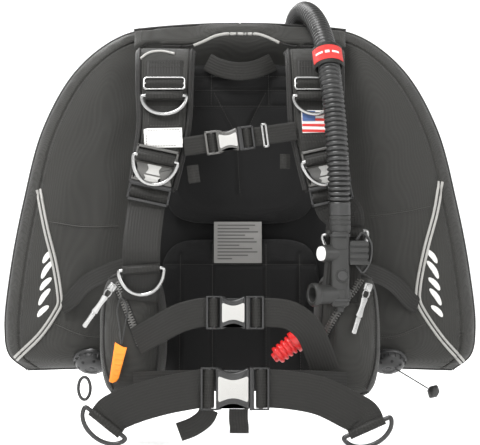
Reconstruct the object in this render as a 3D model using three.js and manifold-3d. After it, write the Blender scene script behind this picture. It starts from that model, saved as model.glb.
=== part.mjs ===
// Buoyancy compensator vest: back-inflation wing, padded shoulder harness, waist and hip belts,
// cargo pockets and inflator hose. Millimetres, +Z up. The origin is the centre of the back plate's
// tank face: +Y points to the tank, -Y to the wearer, and -X is the wearer's right.
import * as THREE from "three";
import { mergeVertices } from "three/addons/utils/BufferGeometryUtils.js";
import Module from "manifold-3d";

const wasm = await Module();
wasm.setup();

// Driving dimensions
const clearance = 0.35;
const wingHalfWidth = 331;
const wingTop = 279;
const wingBottom = -208;
const wingBand = 129;
const tankDiameter = 184;
const tankGap = 24;
const coverWall = 2.4;
const lobeFrontDepth = 40;
const lobeRearDepth = 38;
const bandFrontDepth = 18;
const bandRearDepth = 24;
const plateHalfWidth = 96;
const plateTop = 180;
const plateBottom = -225;
const plateThick = 4.2;
const camWeb = 50;
const camHeight = 40;
const shoulderWeb = 50;
const waistWeb = 38;
const beltWeb = 50;
const chestWeb = 25;
const sideWeb = 25;
const webThick = 2;
const strapWidth = 78;
const strapTipWidth = 62;
const strapThick = 12;
const ringWire = 2.7;
const beltRingWire = 3;
const ringPlay = 2.5;
const borePlay = 0.8;
const sleeveRadius = 6.6;
const frameThick = 4;
const frameLead = 1.5;
const plugShoulder = 5;
const socketWall = 2.4;
const slotPlay = 0.6;
const hoseRadius = 15;
const hoseBandWall = 2;
const valveRadius = 27;
const domeRadius = 23.5;
const pocketDepth = 104;
const cordRadius = 1;

const chestBuckle = { web: chestWeb, high: chestWeb + 7, slot: 4.5, bar: 3.5, rim: 3, body: 27, thick: 9 };
const shoulderBuckle = { web: shoulderWeb, high: shoulderWeb + 7, slot: 6, bar: 5, rim: 4, body: 26, thick: 12 };
const waistBuckle = { web: waistWeb, high: waistWeb + 5.5, slot: 5.5, bar: 4, rim: 3, body: 32, thick: 13 };
const beltBuckle = { web: beltWeb, high: beltWeb + 6, slot: 6, bar: 5, rim: 3, body: 42, thick: 14 };

// Materials
const paint = (color, roughness, metalness = 0) =>
  new THREE.MeshStandardMaterial({ color, roughness, metalness });
const nylon = paint(0x3b3b39, 0.85);
const webbing = paint(0x3f3f3c, 0.8);
const padding = paint(0x2b2b2c, 0.9);
const urethane = paint(0x6b6e70, 0.6);
const hardPlastic = paint(0x2a2a2a, 0.45);
const greyPlastic = paint(0x8c8c88, 0.5);
const rubber = paint(0x343434, 0.6);
const steel = paint(0xd4d4d2, 0.22, 1);
const redPlastic = paint(0xd0202a, 0.4);
const whitePlastic = paint(0xf0f0ee, 0.4);

const vest = new THREE.Group();

// Small vector and solid helpers
const v = (x, y, z) => new THREE.Vector3(x, y, z);
const smooth = (from, to, x) => THREE.MathUtils.smoothstep(x, from, to);
const radians = THREE.MathUtils.degToRad;

function bare(geometry) {
  const plain = geometry.clone();
  plain.deleteAttribute("normal");
  plain.deleteAttribute("uv");
  return mergeVertices(plain, 1e-4);
}

function solid(geometry) {
  const plain = bare(geometry);
  return new wasm.Manifold(new wasm.Mesh({
    numProp: 3,
    vertProperties: new Float32Array(plain.attributes.position.array),
    triVerts: new Uint32Array(plain.index.array),
  }));
}

function shape(manifold) {
  const mesh = manifold.getMesh();
  const geometry = new THREE.BufferGeometry();
  geometry.setAttribute("position", new THREE.BufferAttribute(new Float32Array(mesh.vertProperties), 3));
  geometry.setIndex(new THREE.BufferAttribute(new Uint32Array(mesh.triVerts), 1));
  return geometry;
}

function cut(body, ...tools) {
  return shape(tools.reduce((left, tool) => left.subtract(solid(tool)), solid(body)));
}

function join(first, ...others) {
  return shape(others.reduce((all, next) => all.add(solid(next)), solid(first)));
}

// A closed mesh from points and triangles, turned the right way round.
function closedMesh(points, faces) {
  let volume = 0;
  for (const [a, b, c] of faces) {
    volume += points[a].dot(v(0, 0, 0).crossVectors(points[b], points[c]));
  }
  const outward = volume < 0 ? faces.map(([a, b, c]) => [a, c, b]) : faces;
  const geometry = new THREE.BufferGeometry();
  const numbers = points.flatMap((point) => point.toArray());
  geometry.setAttribute("position", new THREE.Float32BufferAttribute(numbers, 3));
  geometry.setIndex(outward.flat());
  return geometry;
}

// Rings of equal point counts joined in order, with flat ends unless the rings close on themselves.
function loft(rings, looped = false) {
  const around = rings[0].length;
  const faces = [];
  const spans = looped ? rings.length : rings.length - 1;
  for (let i = 0; i < spans; i += 1) {
    const next = (i + 1) % rings.length;
    for (let j = 0; j < around; j += 1) {
      const k = (j + 1) % around;
      faces.push([i * around + j, i * around + k, next * around + k]);
      faces.push([i * around + j, next * around + k, next * around + j]);
    }
  }
  if (!looped) {
    const last = (rings.length - 1) * around;
    for (let j = 1; j < around - 1; j += 1) {
      faces.push([0, j + 1, j], [last, last + j, last + j + 1]);
    }
  }
  return closedMesh(rings.flat(), faces);
}

// Two grids of points, a front and a back, stitched along their borders into one closed skin.
function closedSheet(place, across, along) {
  const points = [];
  for (const side of [0, 1]) {
    for (let i = 0; i <= across; i += 1) {
      for (let j = 0; j <= along; j += 1) points.push(place(i / across, j / along, side));
    }
  }
  const row = along + 1;
  const other = (across + 1) * row;
  const faces = [];
  for (let i = 0; i < across; i += 1) {
    for (let j = 0; j < along; j += 1) {
      const a = i * row + j;
      const b = other + a;
      faces.push([a, a + row, a + row + 1], [a, a + row + 1, a + 1]);
      faces.push([b, b + row + 1, b + row], [b, b + 1, b + row + 1]);
    }
  }
  const border = [];
  for (let i = 0; i < across; i += 1) border.push(i * row);
  for (let j = 0; j < along; j += 1) border.push(across * row + j);
  for (let i = across; i > 0; i -= 1) border.push(i * row + along);
  for (let j = along; j > 0; j -= 1) border.push(j);
  border.forEach((a, n) => {
    const b = border[(n + 1) % border.length];
    faces.push([a, other + b, b], [a, other + a, other + b]);
  });
  return closedMesh(points, faces);
}

function box(x0, x1, y0, y1, z0, z1) {
  const geometry = new THREE.BoxGeometry(Math.abs(x1 - x0), Math.abs(y1 - y0), Math.abs(z1 - z0));
  return geometry.translate((x0 + x1) / 2, (y0 + y1) / 2, (z0 + z1) / 2);
}

// A round bar from one point to another, which may taper.
function rod(from, to, radius, endRadius = radius, sides = 12) {
  const axis = to.clone().sub(from);
  const geometry = new THREE.CylinderGeometry(endRadius, radius, axis.length(), sides);
  const turn = new THREE.Quaternion().setFromUnitVectors(v(0, 1, 0), axis.clone().normalize());
  return geometry.applyQuaternion(turn).translate(...from.clone().add(to).multiplyScalar(0.5).toArray());
}

// A cushion: a sphere pushed out towards its box, with power below 1 making it squarer.
function pillow(centre, half, power = 0.55) {
  const geometry = new THREE.SphereGeometry(1, 14, 10);
  const position = geometry.attributes.position;
  const push = (value) => (Math.abs(value) < 1e-6 ? 0 : Math.sign(value) * Math.abs(value) ** power);
  for (let i = 0; i < position.count; i += 1) {
    const [x, y, z] = [position.getX(i), position.getZ(i), position.getY(i)].map(push);
    position.setXYZ(i, centre.x + half.x * x, centre.y + half.y * y, centre.z + half.z * z);
  }
  return closedFrom(geometry);
}

function closedFrom(geometry) {
  const plain = bare(geometry);
  const points = [];
  for (let i = 0; i < plain.attributes.position.count; i += 1) {
    points.push(v(0, 0, 0).fromBufferAttribute(plain.attributes.position, i));
  }
  const index = plain.index.array;
  const faces = [];
  for (let i = 0; i < index.length; i += 3) {
    const face = [index[i], index[i + 1], index[i + 2]];
    if (new Set(face).size === 3) faces.push(face);
  }
  return closedMesh(points, faces);
}

// The same solid moved outwards by a gap, so that what is cut by it stays clear of it.
function grown(geometry, gap = clearance + 0.1) {
  const plain = bare(geometry);
  const position = plain.attributes.position;
  const index = plain.index.array;
  const facing = Array.from({ length: position.count }, () => []);
  for (let i = 0; i < index.length; i += 3) {
    const [a, b, c] = [0, 1, 2].map((n) => v(0, 0, 0).fromBufferAttribute(position, index[i + n]));
    const normal = b.clone().sub(a).cross(c.clone().sub(a)).normalize();
    if (normal.lengthSq() < 0.5) continue;
    for (const corner of [index[i], index[i + 1], index[i + 2]]) {
      if (!facing[corner].some((known) => known.dot(normal) > 0.999)) facing[corner].push(normal);
    }
  }
  facing.forEach((normals, i) => {
    const mean = normals.reduce((sum, normal) => sum.add(normal), v(0, 0, 0)).normalize();
    const reach = Math.max(0.5, Math.min(...normals.map((normal) => normal.dot(mean))));
    const point = v(0, 0, 0).fromBufferAttribute(position, i).addScaledVector(mean, gap / reach);
    position.setXYZ(i, point.x, point.y, point.z);
  });
  return plain;
}

// Cloth cut back to a gap around the hard pieces that it touches; the main piece is kept.
function carve(soft, ...hard) {
  const left = hard.reduce((body, tool) => body.subtract(solid(grown(tool))), solid(soft));
  const pieces = left.decompose().sort((a, b) => b.volume() - a.volume());
  return shape(pieces[0]);
}

// A mesh's geometry where it finally stands.
function inFrameOf(object, frame) {
  object.updateWorldMatrix(true, false);
  frame.updateWorldMatrix(true, false);
  return frame.matrixWorld.clone().invert().multiply(object.matrixWorld);
}

// A mesh's geometry where it finally stands, in the frame of the whole vest or of one of its groups.
function placed(mesh, frame = vest) {
  return closedFrom(bare(mesh.geometry).applyMatrix4(inFrameOf(mesh, frame)));
}

function inFrame(object, points, frame = vest) {
  const matrix = inFrameOf(object, frame);
  return points.map((point) => point.clone().applyMatrix4(matrix));
}

// A flat ribbon along a path, facing the given way at each of its points.
function ribbon({ path, face, width, thick = webThick, steps = 3 }) {
  const curve = new THREE.CatmullRomCurve3(path);
  const spans = path.length - 1;
  const faces = Array.isArray(face) ? face : path.map(() => face);
  const widths = Array.isArray(width) ? width : path.map(() => width);
  const rings = [];
  for (let i = 0; i <= spans * steps; i += 1) {
    const t = i / (spans * steps);
    const at = Math.min(spans - 1, Math.floor(t * spans + 1e-9));
    const part = t * spans - at;
    const facing = faces[at].clone().lerp(faces[at + 1], part).normalize();
    const tangent = curve.getTangent(t);
    const across = tangent.clone().cross(facing).normalize();
    const out = across.clone().cross(tangent).normalize().multiplyScalar(thick / 2);
    const centre = curve.getPoint(t);
    across.multiplyScalar(THREE.MathUtils.lerp(widths[at], widths[at + 1], part) / 2);
    rings.push([[1, 1], [-1, 1], [-1, -1], [1, -1]].map(([s, n]) =>
      centre.clone().addScaledVector(across, s).addScaledVector(out, n)));
  }
  return loft(rings);
}

// A bent wire ring: a straight bar along X at the origin and a half ellipse hanging from it.
function dRing({ half, drop, wire }) {
  const middle = [v(-half, 0, 0), v(-half / 3, 0, 0), v(half / 3, 0, 0)];
  const bends = 10;
  for (let i = 0; i < bends; i += 1) {
    const angle = (Math.PI * i) / bends;
    middle.push(v(half * Math.cos(angle), 0, -drop * Math.sin(angle)));
  }
  middle.splice(0, 1);
  const sides = 6;
  const closed = [v(-half, 0, 0), ...middle];
  const rings = closed.map((point, i) => {
    const before = closed[(i + closed.length - 1) % closed.length];
    const after = closed[(i + 1) % closed.length];
    const inward = point.clone().sub(before).normalize().sub(after.clone().sub(point).normalize());
    const tangent = after.clone().sub(before).normalize();
    const out = tangent.clone().cross(v(0, 1, 0)).normalize();
    const mitre = 1 / Math.sqrt(Math.max(0.5, 1 - inward.lengthSq() / 4));
    return Array.from({ length: sides }, (_, j) => {
      const angle = (2 * Math.PI * j) / sides;
      return point.clone()
        .addScaledVector(out, wire * mitre * Math.cos(angle))
        .add(v(0, wire * Math.sin(angle), 0));
    });
  });
  return loft(rings, true);
}

// Webbing sewn round a ring's bar: a tube is joined to it and bored through.
function ringSleeve(geometry, ring, length, wire, frame = vest) {
  const bore = wire + borePlay;
  const [from, to, boreFrom, boreTo] = inFrame(ring, [v(-length / 2, 0, 0), v(length / 2, 0, 0),
    v(-length, 0, 0), v(length, 0, 0)], frame);
  return cut(join(geometry, rod(from, to, sleeveRadius)), rod(boreFrom, boreTo, bore));
}

// Side-release buckle. X runs along the webbing with the plug on its +X side, Y is its depth and
// Z runs across the webbing. Each half ends in a ladder of two slots.
function ladder({ web, high, slot, bar, rim }, start, way) {
  const inner = start + way * frameLead;
  const end = inner + way * (2 * slot + bar + rim);
  const plate = box(start - way * 1.5, end, -frameThick / 2, frameThick / 2, -high / 2, high / 2);
  const slots = [0, slot + bar].map((from) => box(inner + way * from, inner + way * (from + slot),
    -frameThick, frameThick, -web / 2 - slotPlay, web / 2 + slotPlay));
  return cut(plate, ...slots);
}

function buckle(spec) {
  const { high, body, thick } = spec;
  const half = body / 2;
  const room = { y: thick / 2 - socketWall, z: high / 2 - socketWall };
  const mouth = box(-half + 3, half + 1, -room.y, room.y, -room.z, room.z);
  const windows = [-1, 1].map((way) => box(-half + 7, half - 7, -room.y, room.y,
    way * (room.z - 1), way * (high / 2 + 1)));
  const shell = join(box(-half, half, -thick / 2, thick / 2, -high / 2, high / 2), ladder(spec, -half, -1));
  const depth = room.y - 0.5;
  const prongs = [-1, 1].map((way) => box(-half + 7.5, half + 2, -depth, depth,
    way * (room.z - 0.5), way * (room.z - 6)));
  const guide = box(-half + 12, half + 2, -depth, depth, -2.5, 2.5);
  const shoulder = box(half + clearance, half + plugShoulder, -depth - 1, depth + 1, -high / 2, high / 2);
  return {
    socket: cut(shell, mouth, ...windows),
    plug: join(shoulder, ladder(spec, half + plugShoulder, 1), ...prongs, guide),
  };
}

// Where webbing runs on a buckle's ladder, from outside inwards: behind the rim, up through the outer
// slot, over the bar and down through the inner slot.
function threadPoints({ body, slot, bar, rim }, way) {
  const start = body / 2 + (way > 0 ? plugShoulder : 0) + frameLead;
  const lift = frameThick / 2 + webThick / 2 + clearance;
  const at = (along, depth) => v(way * (start + along), depth, 0);
  return {
    lead: at(2 * slot + bar + rim + 5, lift),
    rim: at(2 * slot + bar + rim / 2, lift),
    outer: at(1.5 * slot + bar, 0),
    bar: at(slot + bar / 2, -lift),
    inner: at(slot / 2, 0),
    end: at(slot * 0.55, lift * 0.75),
    under: at(slot + bar / 2, lift + 0.4),
    behind: at(2 * slot + bar + rim / 2, lift + webThick + 1.4),
  };
}

function add(name, geometry, material, parent = vest) {
  const mesh = new THREE.Mesh(geometry, material);
  mesh.name = name;
  parent.add(mesh);
  return mesh;
}

function group(x, y, z, turn = 0, parent = vest) {
  const holder = new THREE.Group();
  holder.position.set(x, y, z);
  holder.rotation.y = radians(turn);
  parent.add(holder);
  return holder;
}

const front = v(0, -1, 0);
const back = v(0, 1, 0);

// Wing: a horseshoe of two covers and an air bladder. Its inner and outer edges are given for one
// half, from the top centre to the lobe's lower end, in shares of the wing's own width and height.
const wingHeight = wingTop - wingBottom;
const gapHalf = tankDiameter / 2 + tankGap;
const bandHeight = wingBand / wingHeight;
const outerEdge = [[0, 1], [0.3, 0.99], [0.5, 0.965], [0.69, 0.868], [0.834, 0.7], [0.918, 0.489],
  [0.976, 0.283], [1, 0.119], [0.982, 0.045], [0.906, 0.002]];
const innerEdge = [[0, 0], [0.43, -0.002], [0.72, -0.035], [0.905, -0.107], [0.991, -0.226], [1, -0.37],
  [1, -0.53], [1.017, -0.655], [1.034, -0.69], [1.052, -0.72]];
const outerCurve = new THREE.CatmullRomCurve3(outerEdge.map(([x, z]) =>
  v(x * wingHalfWidth, 0, wingBottom + z * wingHeight)));
const innerCurve = new THREE.CatmullRomCurve3(innerEdge.map(([x, z]) =>
  v(x * gapHalf, 0, wingBottom + (1 - bandHeight + z) * wingHeight)));

function wingPoint(u, t, depth) {
  const share = Math.min(1, Math.abs(u));
  const flat = innerCurve.getPoint(share).lerp(outerCurve.getPoint(share), t);
  const swell = Math.sqrt(Math.max(0, 1 - (2 * t - 1) ** 2));
  const fade = Math.sqrt(Math.max(0, 1 - (Math.max(0, share - 0.8) / 0.2) ** 2));
  const middle = 22 + 10 * (flat.x / wingHalfWidth) ** 2 + 8 * (1 - smooth(0.05, 0.3, share));
  const beside = smooth(gapHalf - 4, gapHalf + 78, flat.x);
  const frontDepth = bandFrontDepth + (lobeFrontDepth - bandFrontDepth) * beside;
  const rearDepth = bandRearDepth + (lobeRearDepth - bandRearDepth) * beside;
  return v(Math.sign(u) * flat.x, middle + depth(frontDepth, rearDepth, swell * fade), flat.z);
}

const seam = clearance / 2;
const coverSheet = (depth) => closedSheet((i, j, side) =>
  wingPoint(2 * i - 1, j, (a, b, swell) => depth(a, b, swell, side)), 28, 6);
const wingFront = coverSheet((a, b, swell, side) => -seam - a * swell - side * coverWall);
const wingRear = coverSheet((a, b, swell, side) => seam + b * swell + side * coverWall);
const crown = (share, power) => Math.sqrt(Math.max(0, 1 - (2 * share - 1) ** power));
const bladderShell = closedSheet((i, j, side) => wingPoint(0.95 * (2 * i - 1), 0.08 + 0.84 * j, (a, b) => {
  const swell = crown(j, 2) * crown(i, 16);
  return side ? -1 - (a * 0.8 - 4) * swell : 1 + (b * 0.8 - 4) * swell;
}), 20, 4);

// Dump valves at the foot of each lobe, facing down and forward.
const valveAxis = v(0, -0.55, -0.835).normalize();
const valveSeat = v(0.625 * wingHalfWidth, -3, wingBottom + 18);
const along = (from, axis, distance) => from.clone().addScaledVector(axis, distance);

// A round bar on an axis, between two distances from a point.
function barrel(at, axis, start, end, radius, endRadius = radius, sides = 16) {
  return rod(along(at, axis, start), along(at, axis, end), radius, endRadius, sides);
}

function dumpValve() {
  const flange = barrel(valveSeat, valveAxis, 0, 5, valveRadius, valveRadius - 1);
  const dome = barrel(valveSeat, valveAxis, 4, 13, domeRadius, domeRadius - 3);
  const cap = barrel(valveSeat, valveAxis, 12, 18, domeRadius - 3, domeRadius - 12);
  const spigot = barrel(valveSeat, valveAxis, -8, 1, valveRadius - 9, valveRadius - 9, 12);
  return join(flange, dome, cap, spigot);
}

const pullDirection = v(0.86, -0.1, -0.5).normalize();
const pullStart = valveSeat.clone().add(v(8, -13, -13));
const pullRoute = [0, 14, 28, 41, 54].map((distance) => along(pullStart, pullDirection, distance)
  .add(v(0, 0, distance < 20 ? 0 : -0.02 * (distance - 20))));
const pullBore = barrel(pullStart, pullDirection, -3, 30, cordRadius + 0.8, cordRadius + 0.8, 12);
const cordStartGap = 1;

function sideGroup(sign) {
  const holder = new THREE.Group();
  holder.scale.x = sign;
  vest.add(holder);
  return holder;
}
const sides = [["right", sideGroup(-1)], ["left", sideGroup(1)]];

const valves = sides.map(([side, holder]) => add(`${side}_dump_valve`,
  side === "left" ? cut(dumpValve(), pullBore) : dumpValve(), hardPlastic, holder));

function tube(route, radius, sidesAround, steps) {
  const section = new THREE.Shape();
  section.absarc(0, 0, radius, 0, 2 * Math.PI, false);
  const geometry = new THREE.ExtrudeGeometry(section, {
    extrudePath: new THREE.CatmullRomCurve3(route), steps, curveSegments: sidesAround,
  });
  return closedFrom(geometry);
}

add("dump_pull_cord", tube([along(pullStart, pullDirection, cordStartGap), ...pullRoute.slice(1)],
  cordRadius, 4, 12), rubber);
const knobStart = along(pullRoute[pullRoute.length - 1], pullDirection, clearance);
add("dump_pull_knob", join(
  rod(knobStart, along(knobStart, pullDirection, 8), 4, 10.5, 12),
  rod(along(knobStart, pullDirection, 7.9), along(knobStart, pullDirection, 16), 10.5, 4, 12),
), hardPlastic);

// Inflator hose: from the elbow on the rear cover, over the wing's top edge and down the left strap.
const hoseRoute = [[74, 72, 236], [75, 70, 252], [77, 63, 272], [80, 50, 286], [84, 32, 293],
  [89, 10, 295.5], [95, -12, 292], [101, -33, 284], [107, -54, 271], [112, -78, 254], [116, -101, 235], [119, -119, 213],
  [122, -139, 184], [126, -153, 140], [129, -165, 90], [131, -167, 45], [132, -165, 10]]
  .map(([x, y, z]) => v(x, y, z));
const hoseStart = hoseRoute[0];
const hoseEnd = hoseRoute[hoseRoute.length - 1];
const bandPlace = v(118.4, -114.6, 217.5);
const bandAxis = v(0.09, -0.54, -0.83).normalize();
add("inflator_hose", tube(hoseRoute, hoseRadius, 5, 34), rubber);
const hoseCurve = new THREE.CatmullRomCurve3(hoseRoute);
const hoseOut = hoseCurve.getTangent(0);
const hoseIn = hoseCurve.getTangent(1);

const elbowRadius = hoseRadius + 2;
const elbowBase = v(hoseStart.x, 56, hoseStart.z - 24);
const elbowFlange = { radius: 21.5, start: -4.5, end: 2 };
const elbow = add("hose_elbow", join(
  barrel(elbowBase, back, elbowFlange.start, elbowFlange.end, elbowFlange.radius, elbowFlange.radius - 0.5),
  barrel(elbowBase, back, -12, hoseStart.y + 14 - elbowBase.y, elbowRadius - 1),
  barrel(hoseStart, hoseOut, -34, -2 * clearance, elbowRadius),
), hardPlastic);

const bandHalf = 11;
const bandInner = hoseRadius + 2.2;
add("hose_band", cut(barrel(bandPlace, bandAxis, -bandHalf, bandHalf, bandInner + hoseBandWall),
  barrel(bandPlace, bandAxis, -2 * bandHalf, 2 * bandHalf, bandInner)), webbing);

// The wing's pieces are cut back around the valves and the elbow.
const rearSide = placed(elbow);
const throughPieces = [rearSide, ...valves.map((mesh) => placed(mesh))];
add("wing_front_cover", carve(wingFront, ...throughPieces), nylon);
add("wing_rear_cover", carve(wingRear, ...throughPieces), nylon);
add("air_bladder", carve(bladderShell, ...throughPieces), urethane);

// Back plate with slots for the cam band, and the band round the tank.
const camSlot = { centre: 84, width: 7, play: 2 };
function backPlate() {
  const outline = new THREE.Shape();
  const [w, top, bottom, corner] = [plateHalfWidth, plateTop, plateBottom, 30];
  outline.moveTo(-w + corner, bottom);
  outline.lineTo(w - corner, bottom);
  outline.quadraticCurveTo(w, bottom, w, bottom + corner);
  outline.lineTo(w, top - corner);
  outline.quadraticCurveTo(w, top, w - corner, top);
  outline.lineTo(-w + corner, top);
  outline.quadraticCurveTo(-w, top, -w, top - corner);
  outline.lineTo(-w, bottom + corner);
  outline.quadraticCurveTo(-w, bottom, -w + corner, bottom);
  const extrusion = { depth: plateThick, bevelEnabled: false, curveSegments: 4 };
  const plate = new THREE.ExtrudeGeometry(outline, extrusion);
  const half = camWeb / 2 + camSlot.play;
  const slots = [-1, 1].map((way) => box(way * camSlot.centre - camSlot.width / 2,
    way * camSlot.centre + camSlot.width / 2, -plateThick - 1, 1, camHeight - half, camHeight + half));
  return cut(plate.rotateX(Math.PI / 2), ...slots);
}
const plate = add("back_plate", backPlate(), hardPlastic);

const tankRadius = tankDiameter / 2;
const camBackY = 2 * tankRadius + 4;
function camBand() {
  const halfLoop = [v(0, -plateThick - 1.5, 0), v(camSlot.centre - 16, -plateThick - 1.5, 0),
    v(camSlot.centre - 2, -3.4, 0), v(camSlot.centre + 0.8, 2, 0), v(tankRadius - 2, 16, 0),
    v(tankRadius + 2, 45, 0), v(tankRadius + 4, tankRadius, 0), v(tankRadius - 9, tankRadius + 48, 0),
    v(tankRadius / 2, camBackY - 11, 0), v(0, camBackY, 0)];
  const loop = [...halfLoop, ...halfLoop.slice(1, -1).reverse().map((point) => v(-point.x, point.y, 0))];
  const curve = new THREE.CatmullRomCurve3(loop, true);
  const spans = loop.length * 3;
  const rings = [];
  for (let i = 0; i < spans; i += 1) {
    const centre = curve.getPoint(i / spans);
    const out = curve.getTangent(i / spans).cross(v(0, 0, 1)).normalize().multiplyScalar(webThick / 2);
    rings.push([[1, 1], [-1, 1], [-1, -1], [1, -1]].map(([s, n]) =>
      centre.clone().addScaledVector(out, n).add(v(0, 0, camHeight + s * camWeb / 2))));
  }
  return loft(rings, true);
}
add("cam_band", carve(camBand(), placed(plate)), webbing);

const leverHinge = v(-35, camBackY + webThick / 2 + 6, camHeight);
const leverHalf = camWeb / 2 + 3;
const lever = { length: 70, half: 3, pin: 5 };
add("cam_lever", join(
  barrel(leverHinge, v(0, 0, 1), -leverHalf, leverHalf, lever.pin, lever.pin, 12),
  box(leverHinge.x, leverHinge.x + lever.length, leverHinge.y - lever.half, leverHinge.y + lever.half,
    camHeight - leverHalf, camHeight + leverHalf),
), hardPlastic);

// Pads on the wearer's side of the plate.
const padBack = -plateThick - 3.3;
add("back_pad", pillow(v(0, padBack - 12.5, 109), v(112, 12.5, 119), 0.4), padding);
add("lumbar_pad", pillow(v(0, padBack - 17, -129), v(118, 17, 113), 0.4), padding);

// Collar: a padded flap from the wing's top edge down to the strap tops, arched over the neck.
const collarHalf = 150;
add("collar_panel", closedSheet((i, j, side) => {
  const x = collarHalf * (2 * i - 1);
  const low = 244 + 18 * (1 - smooth(20, 75, Math.abs(x)));
  const high = 277 - 9 * (x / collarHalf) ** 2;
  const z = low + (high - low) * j;
  return v(x, -33 + 29 * j - 6 * (side - 0.5) * 1, z + (side ? 2 : -2));
}, 16, 3), nylon);

const handleRise = (x) => 208 + 14 * (x / 45) ** 2;
add("carry_handle", ribbon({
  path: [-45, -30, -15, 0, 15, 30, 45].map((x) => v(x, -52 + 18 * (x / 45) ** 2, handleRise(x))),
  face: front, width: 25, thick: 3, steps: 2,
}), webbing);

// Shoulder straps, mirrored: the padded strap, its front webbing, hardware and quick-release buckle.
const strapRoute = [[101, -41, 233], [102, -58, 233], [102, -84, 215], [102, -103, 180], [102, -113, 135],
  [109, -116, 90], [117, -116, 50]].map(([x, y, z]) => v(x, y, z));
const strapFaces = [[-0.05, 1], [-0.38, 0.92], [-0.76, 0.65], [-0.93, 0.37], [-0.99, 0.12],
  [-1, 0], [-1, 0]].map(([y, z]) => v(0, y, z).normalize());
const strapTaper = (strapWidth - strapTipWidth) / 16;
const strapWidths = [0, 0, 2, 4, 8, 12, 16].map((less) => strapWidth - less * strapTaper);
const onStrap = (i, height) => along(strapRoute[i], strapFaces[i], strapThick / 2 + height);
const between = (i, share, height) => onStrap(i, height).lerp(onStrap(i + 1, height), share);

const shoulderRingHalf = shoulderWeb / 2 + ringPlay + ringWire;
const shoulderRing = { half: shoulderRingHalf, drop: 36, wire: ringWire };
const upperRing = { half: shoulderRingHalf, drop: 26, wire: ringWire };
const webLift = webThick / 2 + 0.5;
const lowerRingPlace = v(112, -140, 86);
const releaseBehind = 9.6;
const waistRingPlace = { right: v(131, -160, -62), left: v(140, -133, -14) };
const waistRingSpec = { half: shoulderRingHalf, drop: 34, wire: ringWire };
const pocketTop = v(133, -147, -104);
const sideAnchor = wingPoint(0.71, 0.62, (a, b, swell) =>
  -seam - a * swell - coverWall - webThick / 2 - 0.8);

const glideSpec = { rim: 3, slot: 6, bar: 3, thick: 3.2 };
function triglide() {
  const half = shoulderWeb / 2 + 4;
  const high = glideSpec.rim * 2 + glideSpec.slot * 2 + glideSpec.bar;
  const slots = [-1, 1].map((way) => box(-shoulderWeb / 2 - slotPlay, shoulderWeb / 2 + slotPlay, -5, 5,
    way * glideSpec.bar / 2, way * (glideSpec.bar / 2 + glideSpec.slot)));
  return cut(box(-half, half, -glideSpec.thick / 2, glideSpec.thick / 2, -high / 2, high / 2), ...slots);
}

// Over a triglide from above: behind its rim, over its bar and behind its other rim.
function glidePoints() {
  const lift = glideSpec.thick / 2 + webThick / 2 + clearance;
  const slotMiddle = (glideSpec.bar + glideSpec.slot) / 2;
  const rimMiddle = glideSpec.bar / 2 + glideSpec.slot + glideSpec.rim / 2;
  return [[lift, rimMiddle], [0, slotMiddle], [-lift, 0], [0, -slotMiddle], [lift, -rimMiddle]]
    .map(([y, z]) => v(0, y, z));
}

const pocketCentre = v(144, -43 - pocketDepth / 2, -151);
const pocketHalf = v(44, pocketDepth / 2 + 1.5, 87);
const pocketShape = pillow(pocketCentre, pocketHalf, 0.5);
const pocketIn = { left: pocketShape, right: closedFrom(pocketShape.clone().scale(-1, 1, 1)) };
const zipStart = v(170, -149.5, -86);
const zipPull = { right: v(41, 0, -58), left: v(-21, 0, -68) };

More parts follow.
